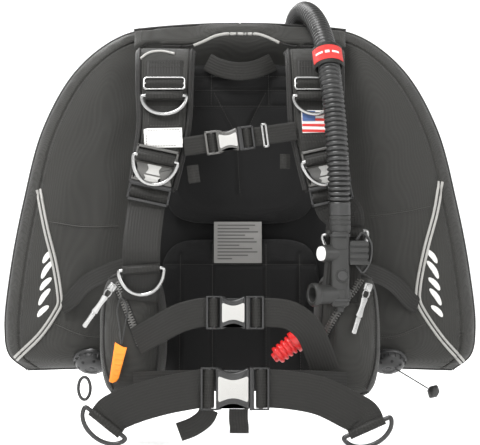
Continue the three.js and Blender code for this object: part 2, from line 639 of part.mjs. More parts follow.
for (const [side, holder] of sides) {
  const strap = add(`${side}_shoulder_strap`, ribbon({
    path: strapRoute, face: strapFaces, width: strapWidths, thick: strapThick, steps: 3,
  }), padding, holder);

  const upper = group(...between(3, 0.3, webLift + webThick / 2 + sleeveRadius - 1.2).toArray(), 0, holder);
  upper.rotation.x = radians(-14);
  add(`${side}_upper_d_ring`, dRing(upperRing), steel, upper);

  const glide = group(...between(2, 0.9, webLift + webThick / 2 + clearance + 1.6).toArray(), 0, holder);
  glide.rotation.x = radians(-26);
  const glideMesh = add(`${side}_upper_triglide`, triglide(), steel, glide);

  const lower = group(...lowerRingPlace.toArray(), -12, holder);
  add(`${side}_lower_d_ring`, dRing(shoulderRing), steel, lower);
  const release = group(0, releaseBehind, -8 - shoulderBuckle.body / 2, 90, lower);
  const parts = buckle(shoulderBuckle);
  const socket = add(`${side}_shoulder_buckle_socket`, parts.socket, greyPlastic, release);
  const plug = add(`${side}_shoulder_buckle_plug`, parts.plug, greyPlastic, release);

  // Front webbing: down the strap, through the triglide, round the upper ring's bar and on to the socket
  const top = threadPoints(shoulderBuckle, -1);
  const frontPath = [onStrap(2, webLift), ...inFrame(glide, glidePoints(), holder),
    between(3, 0.15, webLift), between(3, 0.3, webLift), between(3, 0.8, webLift + 1),
    between(4, 0.35, webLift + 4),
    ...inFrame(release, [top.lead, top.rim, top.outer, top.bar, top.inner, top.end], holder)];
  let frontWeb = ribbon({ path: frontPath, face: front, width: shoulderWeb, steps: 2 });
  frontWeb = ringSleeve(frontWeb, upper, shoulderWeb, ringWire, holder);
  frontWeb = ringSleeve(frontWeb, lower, shoulderWeb, ringWire, holder);
  add(`${side}_shoulder_front_webbing`,
    carve(frontWeb, ...[glideMesh, socket, strap].map((mesh) => placed(mesh, holder))), webbing, holder);

  add(`${side}_pocket`, pocketShape, nylon, holder);

  // Lower webbing: from the plug down round the waist ring's bar to the top of the pocket
  const ringAt = waistRingPlace[side];
  const waistRing = group(...ringAt.toArray(), side === "left" ? -6 : 4, holder);
  add(`${side}_waist_d_ring`, dRing(waistRingSpec), steel, waistRing);
  const foot = threadPoints(shoulderBuckle, 1);
  const behindRing = ringAt.clone().add(v(0, sleeveRadius - 1, 0));
  const fromPlug = [foot.end, foot.inner, foot.bar, foot.outer, foot.rim, foot.lead];
  const lowerPath = [...inFrame(release, fromPlug, holder),
    behindRing.clone().add(v(0, -1, 26)), behindRing, behindRing.clone().add(v(0, 2, -22)), pocketTop];
  const lowerWeb = ringSleeve(ribbon({ path: lowerPath, face: front, width: shoulderWeb, steps: 2 }),
    waistRing, shoulderWeb, ringWire, holder);
  add(`${side}_shoulder_lower_webbing`, carve(lowerWeb, placed(plug, holder), pocketShape),
    webbing, holder);

  // Zip slider with its corded pull
  const slider = group(...zipStart.toArray(), 0, holder);
  const tip = zipPull[side];
  const nearTip = tip.clone().multiplyScalar(0.82);
  const eye = v(0, -6, -3);
  add(`${side}_zip_slider`, join(box(-4.5, 4.5, -2.5, 2.5, -7, 7),
    rod(v(0, -2, -3), eye.clone().add(nearTip), 1.5, 1.5, 8),
    rod(eye.clone().add(nearTip), eye.clone().add(tip), 3, 2.4, 8)), steel, slider);

  // Side strap from the pocket's top corner out to the wing
  const sidePath = [v(152, -92, -59), v(180, -76, -68), v(212, -46, -84),
    sideAnchor.clone().add(v(-8, -5, 4)), sideAnchor];
  const sideWebbing = ribbon({ path: sidePath, face: v(0.1, -0.95, 0.25), width: sideWeb, steps: 2 });
  add(`${side}_side_strap`, carve(sideWebbing, pocketShape, wingFront), webbing, holder);
}

// Chest strap
const chest = group(-16, -128, 110, -8);
const chestParts = buckle(chestBuckle);
const chestSocket = add("chest_buckle_socket", chestParts.socket, greyPlastic, chest);
const chestPlug = add("chest_buckle_plug", chestParts.plug, greyPlastic, chest);
const lift = frameThick / 2 + webThick / 2 + clearance;
const chestRight = threadPoints(chestBuckle, -1);
const chestLeft = threadPoints(chestBuckle, 1);
const inward = ({ lead, rim, outer, bar, inner, end }) => [lead, rim, outer, bar, inner, end];
add("right_chest_webbing", carve(ribbon({
  path: inFrame(chest, [v(-60, lift, 0), ...inward(chestRight)]), face: front, width: chestWeb,
}), placed(chestSocket)), webbing);
add("left_chest_webbing", carve(ribbon({
  path: inFrame(chest, [v(92, lift, 0), v(66, lift, 0), ...inward(chestLeft)]),
  face: front,
  width: chestWeb,
}), placed(chestPlug)), webbing);
const slide = group(50, lift, 0, 0, chest);
const slideSlot = { y: webThick / 2 + clearance, z: chestWeb / 2 + slotPlay };
add("chest_slide", cut(box(-4, 4, -2.7, 2.7, -chestWeb / 2 - 4, chestWeb / 2 + 4),
  box(-5, 5, -slideSlot.y, slideSlot.y, -slideSlot.z, slideSlot.z)), steel, slide);

// Waist belt
const waist = group(-9, -192, -118);
const waistParts = buckle(waistBuckle);
const waistSocket = add("waist_buckle_socket", waistParts.socket, hardPlastic, waist);
const waistPlug = add("waist_buckle_plug", waistParts.plug, hardPlastic, waist);
const hipFace = v(-0.45, -0.9, 0);
const waistRight = [v(-138, -154, -158), v(-112, -170, -143), v(-78, -186, -125)];
add("right_waist_webbing", carve(ribbon({
  path: [...waistRight, ...inFrame(waist, inward(threadPoints(waistBuckle, -1)))],
  face: [hipFace, hipFace, front, front, front, front, front, front, front], width: waistWeb,
}), placed(waistSocket)), webbing);
const waistLeft = [v(114, -155, -198), v(104, -165, -171), v(90, -178, -141), v(66, -187, -122)];
add("left_waist_webbing", carve(ribbon({
  path: [...waistLeft, ...inFrame(waist, inward(threadPoints(waistBuckle, 1)))],
  face: [front, front, front, front, front, front, front, front, front, front], width: waistWeb,
}), placed(waistPlug)), webbing);

// Hip belt: each side runs from the pocket behind its own tail, round the ladder's bar and out again
// as the tail, which ends in a pull ring.
const belt = group(-9, -205, -217);
const beltParts = buckle(beltBuckle);
const beltSocket = add("belt_buckle_socket", beltParts.socket, hardPlastic, belt);
const beltPlug = add("belt_buckle_plug", beltParts.plug, hardPlastic, belt);
const beltRing = { half: beltWeb / 2 + 6 + beltRingWire, drop: 24, wire: beltRingWire };
const beltSides = [
  { side: "right", way: -1, hard: beltSocket, ring: v(-176, -192, -262), turn: 38.5,
    tail: [v(-140, -199, -238), v(-100, -203, -226), v(-64, -204, -219)],
    run: [v(-60, -198, -218), v(-100, -178, -220), v(-140, -150, -224)] },
  { side: "left", way: 1, hard: beltPlug, ring: v(166, -195, -268), turn: -24,
    tail: [v(143, -198, -245), v(106, -202, -227), v(66, -204, -219)],
    run: [v(64, -198, -218), v(102, -178, -220), v(140, -150, -224)] },
];
for (const { side, way, hard, ring, turn, tail, run } of beltSides) {
  const holder = group(...ring.toArray(), turn);
  add(`${side}_belt_ring`, dRing(beltRing), hardPlastic, holder);
  const points = threadPoints(beltBuckle, way);
  const loop = inFrame(belt, [points.rim, points.outer, points.bar, points.inner, points.under,
    points.behind]);
  const path = [...inFrame(holder, [v(0, 0, 4), v(0, 0, 14)]), ...tail, ...loop, ...run];
  const aside = v(-way, 0, 0);
  const face = [...Array(8).fill(front), aside, ...Array(5).fill(back)];
  const strip = ribbon({ path, face, width: beltWeb, steps: 3 });
  const belting = ringSleeve(strip, holder, beltWeb, beltRingWire);
  add(`${side}_belt_webbing`, carve(belting, placed(hard), pocketIn[side]), webbing);
}

// Ripcord handle of the weight release, lying across the lumbar pad beside the left pocket
const cordAxis = v(0.79, 0, 0.61).normalize();
const handleCentre = v(69, -150, -162);
const grip = (start, end, radius, endRadius) =>
  barrel(handleCentre, cordAxis, start, end, radius, endRadius, 12);
const ribs = [-25, -18, -11, -4].map((start) => grip(start, start + 4.5, 12, 13));
add("ripcord_handle", join(grip(-22, 24, 9.5, 10), ...ribs, grip(2, 16, 15, 15), grip(16, 25, 15, 9)),
  redPlastic);

// Inflator: the power inflator at the hose's lower end, with its two buttons and mouthpiece
const inflator = group(hoseEnd.x, hoseEnd.y, hoseEnd.z);
const mouthAxis = v(-0.9, -0.44, 0).normalize();
const pressAt = v(0, 0, -51);
const mouthAt = v(0, 0, -105);
const press = { barrel: 12, barrelEnd: 26, radius: 9.5, travel: 4, proud: 4.5 };
const deflate = { radius: 7, travel: 3, proud: 3.5, place: v(3, -14, -80) };
const mouth = { tube: 13, lip: 15.5, bore: 10, floor: 22, lipStart: 34, end: 42 };
const pressOuter = press.barrelEnd + press.proud;
const pressLong = 9;
const deflateInner = -14 + 4;
function inflatorBody() {
  const hull = join(
    barrel(v(0, 0, 0), hoseIn, clearance, 24, hoseRadius - 0.6),
    box(-12, 12, -14, 14, -121, -23),
    box(11, 36, -10, 10, -66, -34),
    barrel(pressAt, mouthAxis, 0, press.barrelEnd, press.barrel),
    barrel(mouthAt, mouthAxis, 0, mouth.lipStart + 2, mouth.tube),
    barrel(mouthAt, mouthAxis, mouth.lipStart, mouth.end, mouth.lip),
  );
  const pressFloor = pressOuter - pressLong - press.travel - 0.6;
  const deflateFloor = deflateInner + deflate.travel + 0.6;
  const grooves = [-40, -46, -54, -60].map((z) => box(13, 40, -12, -8.5, z - 1, z + 1));
  return cut(hull,
    barrel(pressAt, mouthAxis, pressFloor, 40, press.radius + 0.5),
    barrel(mouthAt, mouthAxis, mouth.floor, mouth.end + 8, mouth.bore, mouth.bore, 12),
    barrel(deflate.place.clone().setY(deflateFloor), front, 0, 20, deflate.radius + 0.5),
    ...grooves);
}
add("inflator_body", inflatorBody(), hardPlastic, inflator);
add("inflate_button", barrel(pressAt, mouthAxis, pressOuter - pressLong, pressOuter,
  press.radius, press.radius - 1), whitePlastic, inflator);
add("deflate_button", barrel(deflate.place.clone().setY(deflateInner), front, 0,
  14 + deflate.proud + deflateInner, deflate.radius), hardPlastic, inflator);

export default vest;
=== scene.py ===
import math

import bpy
import numpy as np
from mathutils.bvhtree import BVHTree
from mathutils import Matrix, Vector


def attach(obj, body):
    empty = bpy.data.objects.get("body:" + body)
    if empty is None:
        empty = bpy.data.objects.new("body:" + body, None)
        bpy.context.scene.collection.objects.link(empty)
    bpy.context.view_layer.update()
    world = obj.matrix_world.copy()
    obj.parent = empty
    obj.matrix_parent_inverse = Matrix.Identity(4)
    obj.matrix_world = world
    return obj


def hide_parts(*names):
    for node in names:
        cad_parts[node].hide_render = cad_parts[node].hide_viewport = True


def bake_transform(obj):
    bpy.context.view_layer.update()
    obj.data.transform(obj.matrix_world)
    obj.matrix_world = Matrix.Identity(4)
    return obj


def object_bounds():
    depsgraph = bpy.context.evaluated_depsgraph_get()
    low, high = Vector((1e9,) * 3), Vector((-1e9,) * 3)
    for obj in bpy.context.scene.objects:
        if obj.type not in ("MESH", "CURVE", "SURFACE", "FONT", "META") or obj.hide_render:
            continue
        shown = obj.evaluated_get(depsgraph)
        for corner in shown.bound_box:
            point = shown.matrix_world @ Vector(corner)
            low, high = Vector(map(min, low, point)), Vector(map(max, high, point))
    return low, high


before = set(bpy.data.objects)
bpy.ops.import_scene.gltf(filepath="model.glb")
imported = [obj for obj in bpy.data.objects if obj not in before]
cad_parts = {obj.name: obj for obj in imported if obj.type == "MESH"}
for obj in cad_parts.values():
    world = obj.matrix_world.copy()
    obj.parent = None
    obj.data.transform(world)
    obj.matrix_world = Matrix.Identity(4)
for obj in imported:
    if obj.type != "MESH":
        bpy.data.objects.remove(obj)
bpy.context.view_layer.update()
print("frame loaded:", len(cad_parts), "nodes")

# Lengths in this script are millimetres until a mesh is made.
mm = 0.001


def vec(*numbers):
    return np.array(numbers, float)


def unit(a):  # each row divided by its own length
    a = np.asarray(a, float)
    return a / np.maximum(np.linalg.norm(a, axis=-1, keepdims=True), 1e-12)


def smooth(low, high, x):  # 3s^2 - 2s^3, with s the share of the way from low to high
    s = np.clip((x - low) / (high - low), 0, 1)
    return s * s * (3 - 2 * s)


# Camera and light

studio = {
    "cameraBack": 3000, "lens": 160.7, "sensor": 36,
    "floorDrop": 3, "tentRadius": 9000, "tentHigh": 6000, "bend": 2600, "floorWhite": 0.9, "glow": 0.42,
    "world": 0.5, "key": 88, "fill": 17, "low": 5, "back": 40,
}

cameraData = bpy.data.cameras.new("camera")
cameraData.lens = studio["lens"]
cameraData.sensor_width = studio["sensor"]
camera = bpy.data.objects.new("camera", cameraData)
camera.location = (0, -studio["cameraBack"] * mm, 0)
camera.rotation_euler = (math.radians(90), 0, 0)
bpy.context.scene.collection.objects.link(camera)
bpy.context.scene.camera = camera
bpy.context.scene.view_settings.view_transform = "Standard"


# Mesh making. A part is points (n, 3), a list of face index arrays, and uv (n, 2) in hundredths of a metre.

# Rows by columns of points joined into quads, either way round closed on itself.
def gridFaces(rows, columns, wrapRows=False, wrapColumns=False):
    i = np.arange(rows if wrapRows else rows - 1)[:, None]
    j = np.arange(columns if wrapColumns else columns - 1)[None, :]
    right = (j + 1) % columns
    below = ((i + 1) % rows) * columns
    return np.stack([i * columns + j, i * columns + right, below + right, below + j], -1).reshape(-1, 4)


# Six times the signed volume: the sum of the triple products of a fan over each face.
def signedVolume(points, faces):
    total = 0.0
    for face in faces:
        for c in range(1, face.shape[1] - 1):
            a, b, d = points[face[:, 0]], points[face[:, c]], points[face[:, c + 1]]
            total += np.einsum("ij,ij->", a, np.cross(b, d))
    return total


# All parts in one mesh object, each part turned outwards, in metres, with its uv.
def meshObject(name, parts, material, angle=38):
    points, loops, sizes, uvs, count = [], [], [], [], 0
    for at, faces, uv in parts:
        at = np.asarray(at, float)
        inward = signedVolume(at - at.mean(0), faces) < 0
        for face in faces:
            face = face[:, ::-1] if inward else face
            loops.append((face + count).ravel())
            sizes.append(np.full(len(face), face.shape[1]))
        points.append(at)
        uvs.append(uv)
        count += len(at)
    loops, sizes, points, uvs = map(np.concatenate, (loops, sizes, points, uvs))
    mesh = bpy.data.meshes.new(name)
    mesh.vertices.add(len(points))
    mesh.vertices.foreach_set("co", (points * mm).astype(np.float32).ravel())
    mesh.loops.add(len(loops))
    mesh.loops.foreach_set("vertex_index", loops.astype(np.int32))
    mesh.polygons.add(len(sizes))
    mesh.polygons.foreach_set("loop_start", (np.cumsum(sizes) - sizes).astype(np.int32))
    mesh.update(calc_edges=True)
    layer = mesh.uv_layers.new(name="weave")
    layer.data.foreach_set("uv", uvs[loops].astype(np.float32).ravel())
    mesh.validate()
    mesh.shade_smooth()
    mesh.set_sharp_from_angle(angle=math.radians(angle))
    mesh.materials.append(material)
    obj = bpy.data.objects.new(name, mesh)
    bpy.context.scene.collection.objects.link(obj)
    return obj


# A finished piece hides the nodes it stands for and moves with its body.
def fit(obj, slotName, *nodes, body="root"):
    if nodes:
        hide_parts(*nodes)
    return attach(obj, body)


def piece(name, parts, material, slotName, *nodes, body="root", angle=38):
    return fit(meshObject(name, parts, material, angle), slotName, *nodes, body=body)


# A centripetal Catmull-Rom curve: knots a root of the chord apart, cubic between each two points.
def curveAt(points, shares):
    p = np.asarray(points, float)
    p = np.vstack([2 * p[0] - p[1], p, 2 * p[-1] - p[-2]])
    gap = np.maximum(np.linalg.norm(np.diff(p, axis=0), axis=1) ** 0.5, 1e-6)[:, None]
    a, b, c = gap[:-2], gap[1:-1], gap[2:]
    p0, p1, p2, p3 = p[:-3], p[1:-2], p[2:-1], p[3:]
    m1 = b * ((p1 - p0) / a - (p2 - p0) / (a + b) + (p2 - p1) / b)
    m2 = b * ((p2 - p1) / b - (p3 - p1) / (b + c) + (p3 - p2) / c)
    at = np.asarray(shares, float) * len(b)
    k = np.clip(at.astype(int), 0, len(b) - 1)
    s = (at - k)[:, None]
    return ((2 * s**3 - 3 * s**2 + 1) * p1[k] + (s**3 - 2 * s**2 + s) * m1[k]
            + (3 * s**2 - 2 * s**3) * p2[k] + (s**3 - s**2) * m2[k])


def lengths(path):  # distance run along a path at each of its points
    return np.r_[0, np.cumsum(np.linalg.norm(np.diff(path, axis=0), axis=1))]


# A path's points again, a steady step apart, and the share of its spans at each.
def stepped(points, step):
    shares = np.linspace(0, 1, 24 * (len(points) - 1) + 1)
    fine = curveAt(points, shares)
    run = lengths(fine)
    count = max(2, int(round(run[-1] / step)) + 1)
    return curveAt(points, np.interp(np.linspace(0, run[-1], count), run, shares))


# Values given along a run, such as distances, read at new spots on it, each column by itself.
def readAt(spots, run, values):
    return np.stack([np.interp(spots, run, column) for column in values.T], -1)


def spread(values, shares):  # values given at a path's points, read between them
    values = np.asarray(values, float)
    at = np.linspace(0, 1, len(values))
    if values.ndim == 1:
        return np.interp(shares, at, values)
    return readAt(shares, at, values)


# A closed section carried along a path: centre + across * x + out * y, with flat ends.
def swept(path, across, out, section, closed=False):
    rows = len(path)
    columns = section.shape[-2]
    section = np.broadcast_to(section, (rows, columns, 2))
    points = path[:, None] + across[:, None] * section[..., :1] + out[:, None] * section[..., 1:]
    faces = [gridFaces(rows, columns, closed, True)]
    if not closed:
        faces += [np.arange(columns)[None, ::-1], (rows - 1) * columns + np.arange(columns)[None]]
    uv = np.stack([section[..., 0], np.broadcast_to(lengths(path)[:, None], (rows, columns))], -1)
    return points.reshape(-1, 3), faces, uv.reshape(-1, 2) / 100


# Webbing's section: a flat band with round, slightly thicker selvedges.
def bandSection(width, thick, columns=10, selvedge=0.12):
    across = np.sin(np.linspace(-1, 1, columns) * math.pi / 2)
    high = thick / 2 * (1 + selvedge * np.exp(-((np.abs(across) - 0.92) / 0.05) ** 2))
    high = high * np.sqrt(np.clip(1 - np.abs(across) ** 14, 0.06, 1))
    x = np.r_[across, across[::-1]]
    return np.stack([x[None] * np.reshape(width, (-1, 1)) / 2,
                     np.broadcast_to(np.r_[high, -high[::-1]], (np.size(width), len(x)))], -1)


# A flat band along a path, facing the given way at each of the path's points.
def band(points, face, width, thick=2.0, perSpan=6, columns=10):
    points = np.asarray(points, float)
    shares = np.linspace(0, 1, perSpan * (len(points) - 1) + 1)
    path = curveAt(points, shares)
    tangent = unit(np.gradient(path, axis=0))
    face = np.broadcast_to(np.asarray(face, float), points.shape)
    across = unit(np.cross(tangent, unit(spread(face, shares))))
    out = unit(np.cross(across, tangent))
    width = np.broadcast_to(spread(width, shares) if np.ndim(width) else width, len(path))
    return swept(path, across, out, bandSection(width, thick, columns))


# A round tube: a circle of the given radius, square to the path.
def tube(path, radius, sides=12, closed=False, level=(1, 0, 0)):
    path = np.asarray(path, float)
    if closed:
        tangent = unit(np.roll(path, -1, 0) - np.roll(path, 1, 0))
    else:
        tangent = unit(np.gradient(path, axis=0))
    across = unit(np.cross(tangent, np.cross(np.broadcast_to(vec(*level), path.shape), tangent)))
    out = np.cross(across, tangent)
    turn = np.arange(sides) * 2 * math.pi / sides
    circle = np.stack([np.cos(turn), np.sin(turn)], -1)
    section = circle[None] * np.broadcast_to(radius, len(path))[:, None, None]
    return swept(path, across, out, section, closed)


# A profile of (distance, radius) turned round an axis from a place.
def turned(profile, place, axis, sides=40):
    profile = np.asarray(profile, float)
    axis = unit(vec(*axis))
    path = vec(*place) + profile[:, :1] * axis
    side = unit(np.cross(axis, vec(0, 0, 1) if abs(axis[2]) < 0.9 else vec(1, 0, 0)))
    turn = np.arange(sides) * 2 * math.pi / sides
    circle = np.stack([np.cos(turn), np.sin(turn)], -1)
    section = circle[None] * np.maximum(profile[:, 1], 0.02)[:, None, None]
    rows = len(path)
    return swept(path, np.broadcast_to(side, (rows, 3)), np.broadcast_to(np.cross(axis, side), (rows, 3)),
                 section)


# A flat outline given a thickness along Y, with its rims rounded by the bevel.
def slab(outline, y0, y1, bevel=0.8, place=None):
    outline = np.asarray(outline, float)
    ahead, behind = np.roll(outline, -1, 0) - outline, outline - np.roll(outline, 1, 0)
    area = np.sum(outline[:, 0] * np.roll(outline[:, 1], -1) - np.roll(outline[:, 0], -1) * outline[:, 1])
    tangent = unit(unit(ahead) + unit(behind))
    outward = np.stack([tangent[:, 1], -tangent[:, 0]], -1) * np.sign(area)
    turn = np.linspace(0, math.pi / 2, 4)
    inset = np.r_[1 - np.sin(turn), 1 - np.sin(turn[::-1])] * bevel
    depth = np.r_[y0 + (1 - np.cos(turn)) * bevel, y1 - (1 - np.cos(turn[::-1])) * bevel]
    flat = outline[None] - outward[None] * inset[:, None, None]
    rows, columns = len(depth), len(outline)
    points = np.stack([flat[..., 0], np.broadcast_to(depth[:, None], (rows, columns)), flat[..., 1]], -1)
    points = points.reshape(-1, 3)
    faces = [gridFaces(rows, columns, False, True), np.arange(columns)[None, ::-1],
             (rows - 1) * columns + np.arange(columns)[None]]
    uv = points[:, [0, 2]] / 100
    return (points if place is None else place(points)), faces, uv


# A rectangle with round corners, as an outline.
def roundRect(x, z, halfX, halfZ, radius, perCorner=5):
    radius = min(radius, halfX * 0.999, halfZ * 0.999)
    turn = np.linspace(0, math.pi / 2, perCorner)
    turns = np.concatenate([turn + k * math.pi / 2 for k in range(4)])
    corner = np.repeat([[1, 1], [-1, 1], [-1, -1], [1, -1]], perCorner, axis=0)
    ring = np.stack([np.cos(turns), np.sin(turns)], -1) * radius
    return vec(x, z) + corner * vec(halfX - radius, halfZ - radius) + ring


def block(x0, x1, y0, y1, z0, z1, radius=1.5, bevel=0.7, place=None):
    outline = roundRect((x0 + x1) / 2, (z0 + z1) / 2, (x1 - x0) / 2, (z1 - z0) / 2, radius)
    return slab(outline, y0, y1, min(bevel, (y1 - y0) * 0.45), place)


# Turned about Y by degrees and moved to a point; mirrored across X when side is -1.
def frameOf(x, y, z, degrees=0.0, side=1, tip=0.0):
    c, s = math.cos(math.radians(degrees)), math.sin(math.radians(degrees))
    ct, st = math.cos(math.radians(tip)), math.sin(math.radians(tip))

    def place(points):
        a, b, d = np.moveaxis(np.asarray(points, float), -1, 0)
        b, d = b * ct - d * st, b * st + d * ct
        return np.stack([(a * c + d * s + x) * side, b + y, -a * s + d * c + z], -1)

    return place


# One small shape copied to many places: centre + the shape's three numbers times three directions.
def copies(shape, faces, centres, a, b, c):
    centres, a, b, c = (np.broadcast_to(x, centres.shape) for x in (centres, a, b, c))
    points = (centres[:, None] + a[:, None] * shape[None, :, :1] + b[:, None] * shape[None, :, 1:2]
              + c[:, None] * shape[None, :, 2:])
    shift = (np.arange(len(centres)) * len(shape))[:, None, None]
    moved = [(face[None] + shift).reshape(-1, face.shape[1]) for face in faces]
    return points.reshape(-1, 3), moved, np.zeros((len(centres) * len(shape), 2))


# A grain of thread: four rings of five points, thick in the middle, lying along its first axis.
def threadShape(length, radius):
    turn = np.arange(5) * 2 * math.pi / 5
    ring = np.stack([np.zeros(5), np.cos(turn), np.sin(turn)], -1)
    rows = [ring * r + vec(x, 0, 0) for x, r in
            ((-length / 2, radius * 0.3), (-length / 4, radius), (length / 4, radius),
             (length / 2, radius * 0.3))]
    return np.concatenate(rows), [gridFaces(4, 5, False, True), np.arange(5)[None, ::-1],
                                  15 + np.arange(5)[None]]


# A row of stitches on a path: thread grains one pitch apart, standing half out of the cloth.
def stitches(path, normal, pitch=3.6, length=2.6, radius=0.42):
    path = np.asarray(path, float)
    run = lengths(path)
    at = np.arange(pitch / 2, run[-1], pitch)
    centres = readAt(at, run, path)
    tangent = unit(readAt(at, run, np.gradient(path, axis=0)))
    normal = np.broadcast_to(np.asarray(normal, float), path.shape)
    up = unit(readAt(at, run, normal))
    shape, faces = threadShape(length, radius)
    return copies(shape, faces, centres, tangent, unit(np.cross(up, tangent)), up)


def treeOf(obj):
    return BVHTree.FromObject(obj, bpy.context.evaluated_depsgraph_get())


# Points laid on a surface from the front (way 1) or the back (way -1): each ray meets it along Y.
def laidOn(tree, flat, lift=0.0, way=1):
    found, normals = [], []
    last = (0.0, vec(0, -way, 0))
    for x, z in np.asarray(flat, float):
        hit, normal = tree.ray_cast((x * mm, -way * 0.6, z * mm), (0, way, 0))[:2]
        if hit is not None:
            last = (hit[1] / mm, vec(*normal))
        found.append((x, last[0], z))
        normals.append(last[1])
    normals = unit(np.array(normals))
    return np.array(found) + normals * lift, normals


# A flat line, given by a few corner points, made dense for laying on cloth.
def flatLine(points, step=4.0):
    flat = np.asarray(points, float)
    return stepped(np.c_[flat, np.zeros(len(flat))], step)[:, :2]


# The least distance of flat points from a line of straight spans.
def distanceTo(flat, line):
    line = np.asarray(line, float)
    a, b = line[:-1], line[1:]
    ab = b - a
    t = np.einsum("nsk,sk->ns", flat[:, None] - a[None], ab) / np.maximum((ab**2).sum(1), 1e-9)
    near = a[None] + np.clip(t, 0, 1)[..., None] * ab[None]
    return np.linalg.norm(flat[:, None] - near, axis=-1).min(1)


# Finishes

def node(tree, kind, **values):
    made = tree.nodes.new(kind)
    for key, value in values.items():
        if key in made.inputs:
            made.inputs[key].default_value = value
        else:
            setattr(made, key, value)
    return made


# A finish: patchy colour, broken gloss, and relief from grain and, on cloth, from its weave, whose relief
# also darkens and lightens the colour as painted shade and painted highlight.
def finish(name, colour, rough, metal=0.0, tint=0.18, grain=900.0, grainDepth=0.0002, weave=None,
           pitch=1.0, weaveDepth=0.0003, sheen=0.0, coat=0.0, dust=0.0, specular=0.5):
    material = bpy.data.materials.new(name)
    material.use_nodes = True
    tree = material.node_tree
    link = tree.links.new
    shader = tree.nodes["Principled BSDF"]
    shader.inputs["Metallic"].default_value = metal
    shader.inputs["Sheen Weight"].default_value = sheen
    shader.inputs["Sheen Roughness"].default_value = 0.45
    shader.inputs["Coat Weight"].default_value = coat
    shader.inputs["Specular IOR Level"].default_value = specular
    coords = node(tree, "ShaderNodeTexCoord")
    patches = node(tree, "ShaderNodeTexNoise", Scale=22.0, Detail=5.0, Roughness=0.62)
    grains = node(tree, "ShaderNodeTexNoise", Scale=grain, Detail=2.0)
    link(coords.outputs["Object"], patches.inputs["Vector"])
    link(coords.outputs["Object"], grains.inputs["Vector"])
    colour = vec(*colour)
    shade = node(tree, "ShaderNodeMix", data_type="RGBA")
    shade.inputs["A"].default_value = (*(colour * (1 - tint)), 1)
    shade.inputs["B"].default_value = (*np.minimum(colour * (1 + tint) + dust, 1), 1)
    link(patches.outputs["Fac"], shade.inputs["Factor"])
    gloss = node(tree, "ShaderNodeMapRange")
    gloss.inputs["From Min"].default_value, gloss.inputs["From Max"].default_value = 0.3, 0.7
    gloss.inputs["To Min"].default_value = max(rough - 0.07, 0.03)
    gloss.inputs["To Max"].default_value = min(rough + 0.09, 1.0)
    link(patches.outputs["Fac"], gloss.inputs["Value"])
    link(gloss.outputs["Result"], shader.inputs["Roughness"])
    relief = node(tree, "ShaderNodeBump", Strength=0.6, Distance=grainDepth)
    link(grains.outputs["Fac"], relief.inputs["Height"])
    last = shade.outputs["Result"]
    if weave:
        # two sets of threads crossing: on webbing along and across its own uv, on cloth along the axes
        scale = 31.4 / pitch if weave == "web" else 314.0 / pitch
        source = coords.outputs["UV" if weave == "web" else "Object"]
        waves = []
        threadWays = (("X", 0.45), ("Y", 1.0)) if weave == "web" else (("X", 1.0), ("Y", 1.0), ("Z", 1.0))
        for direction, share in threadWays:
            wave = node(tree, "ShaderNodeTexWave", bands_direction=direction, Scale=scale * share)
            link(source, wave.inputs["Vector"])
            waves.append(wave.outputs["Fac"])
        total = waves[0]
        for extra in waves[1:]:
            join = node(tree, "ShaderNodeMath", operation="MULTIPLY" if weave == "web" else "ADD")
            link(total, join.inputs[0])
            link(extra, join.inputs[1])
            total = join.outputs[0]
        threads = node(tree, "ShaderNodeBump", Strength=0.7, Distance=weaveDepth)
        link(total, threads.inputs["Height"])
        link(relief.outputs["Normal"], threads.inputs["Normal"])
        relief = threads
        # the colour is multiplied by the weave's relief, from 0.72 in its hollows to 1.14 on its crests:
        # painted shade and painted highlight on the threads
        dark = node(tree, "ShaderNodeMix", data_type="RGBA", blend_type="MULTIPLY")
        dark.inputs["Factor"].default_value = 1.0
        level = node(tree, "ShaderNodeMapRange")
        level.inputs["From Max"].default_value = 1.0 if weave == "web" else 2.6
        level.inputs["To Min"].default_value = 0.72
        level.inputs["To Max"].default_value = 1.14
        link(total, level.inputs["Value"])
        link(last, dark.inputs["A"])
        link(level.outputs["Result"], dark.inputs["B"])
        last = dark.outputs["Result"]
    link(last, shader.inputs["Base Color"])
    link(relief.outputs["Normal"], shader.inputs["Normal"])
    return material


nylon = finish("packcloth", (0.027, 0.0265, 0.024), 0.56, weave="cloth", pitch=1.3, sheen=0.1, tint=0.2,
               specular=0.22)
padCloth = finish("padCloth", (0.0085, 0.0085, 0.0085), 0.72, weave="cloth", pitch=1.0, sheen=0.05, tint=0.25,
                  specular=0.14)
webbing = finish("webbing", (0.0165, 0.016, 0.0145), 0.52, weave="web", pitch=1.7, weaveDepth=0.0004,
                 sheen=0.03, specular=0.2)
binding = finish("binding", (0.0155, 0.015, 0.014), 0.52, weave="cloth", pitch=0.9, sheen=0.05, specular=0.25)
thread = finish("thread", (0.040, 0.039, 0.036), 0.6, sheen=0.08, specular=0.25)
plastic = finish("blackPlastic", (0.012, 0.012, 0.012), 0.34, grain=2600.0, grainDepth=0.00008, tint=0.12)
moulded = finish("mouldedPlastic", (0.020, 0.020, 0.019), 0.42, grain=1900.0, grainDepth=0.00012, dust=0.004,
                 specular=0.35)
greyPlastic = finish("greyPlastic", (0.075, 0.073, 0.068), 0.32, grain=1600.0, tint=0.1, coat=0.15)
paleGrip = finish("paleGrip", (0.40, 0.395, 0.38), 0.45, grain=1400.0, tint=0.07)
steel = finish("polishedSteel", (0.33, 0.33, 0.325), 0.24, metal=1.0, tint=0.06, grain=300.0,
               grainDepth=0.00003)
rubber = finish("hoseRubber", (0.014, 0.014, 0.0135), 0.36, grain=1200.0, grainDepth=0.0001, dust=0.006,
                specular=0.5)
urethane = finish("urethane", (0.10, 0.11, 0.12), 0.35, tint=0.1)
redPlastic = finish("redPlastic", (0.62, 0.012, 0.012), 0.33, tint=0.1, grain=1500.0, coat=0.2)
whitePlastic = finish("whitePlastic", (0.78, 0.78, 0.76), 0.35, tint=0.04, grain=1500.0)
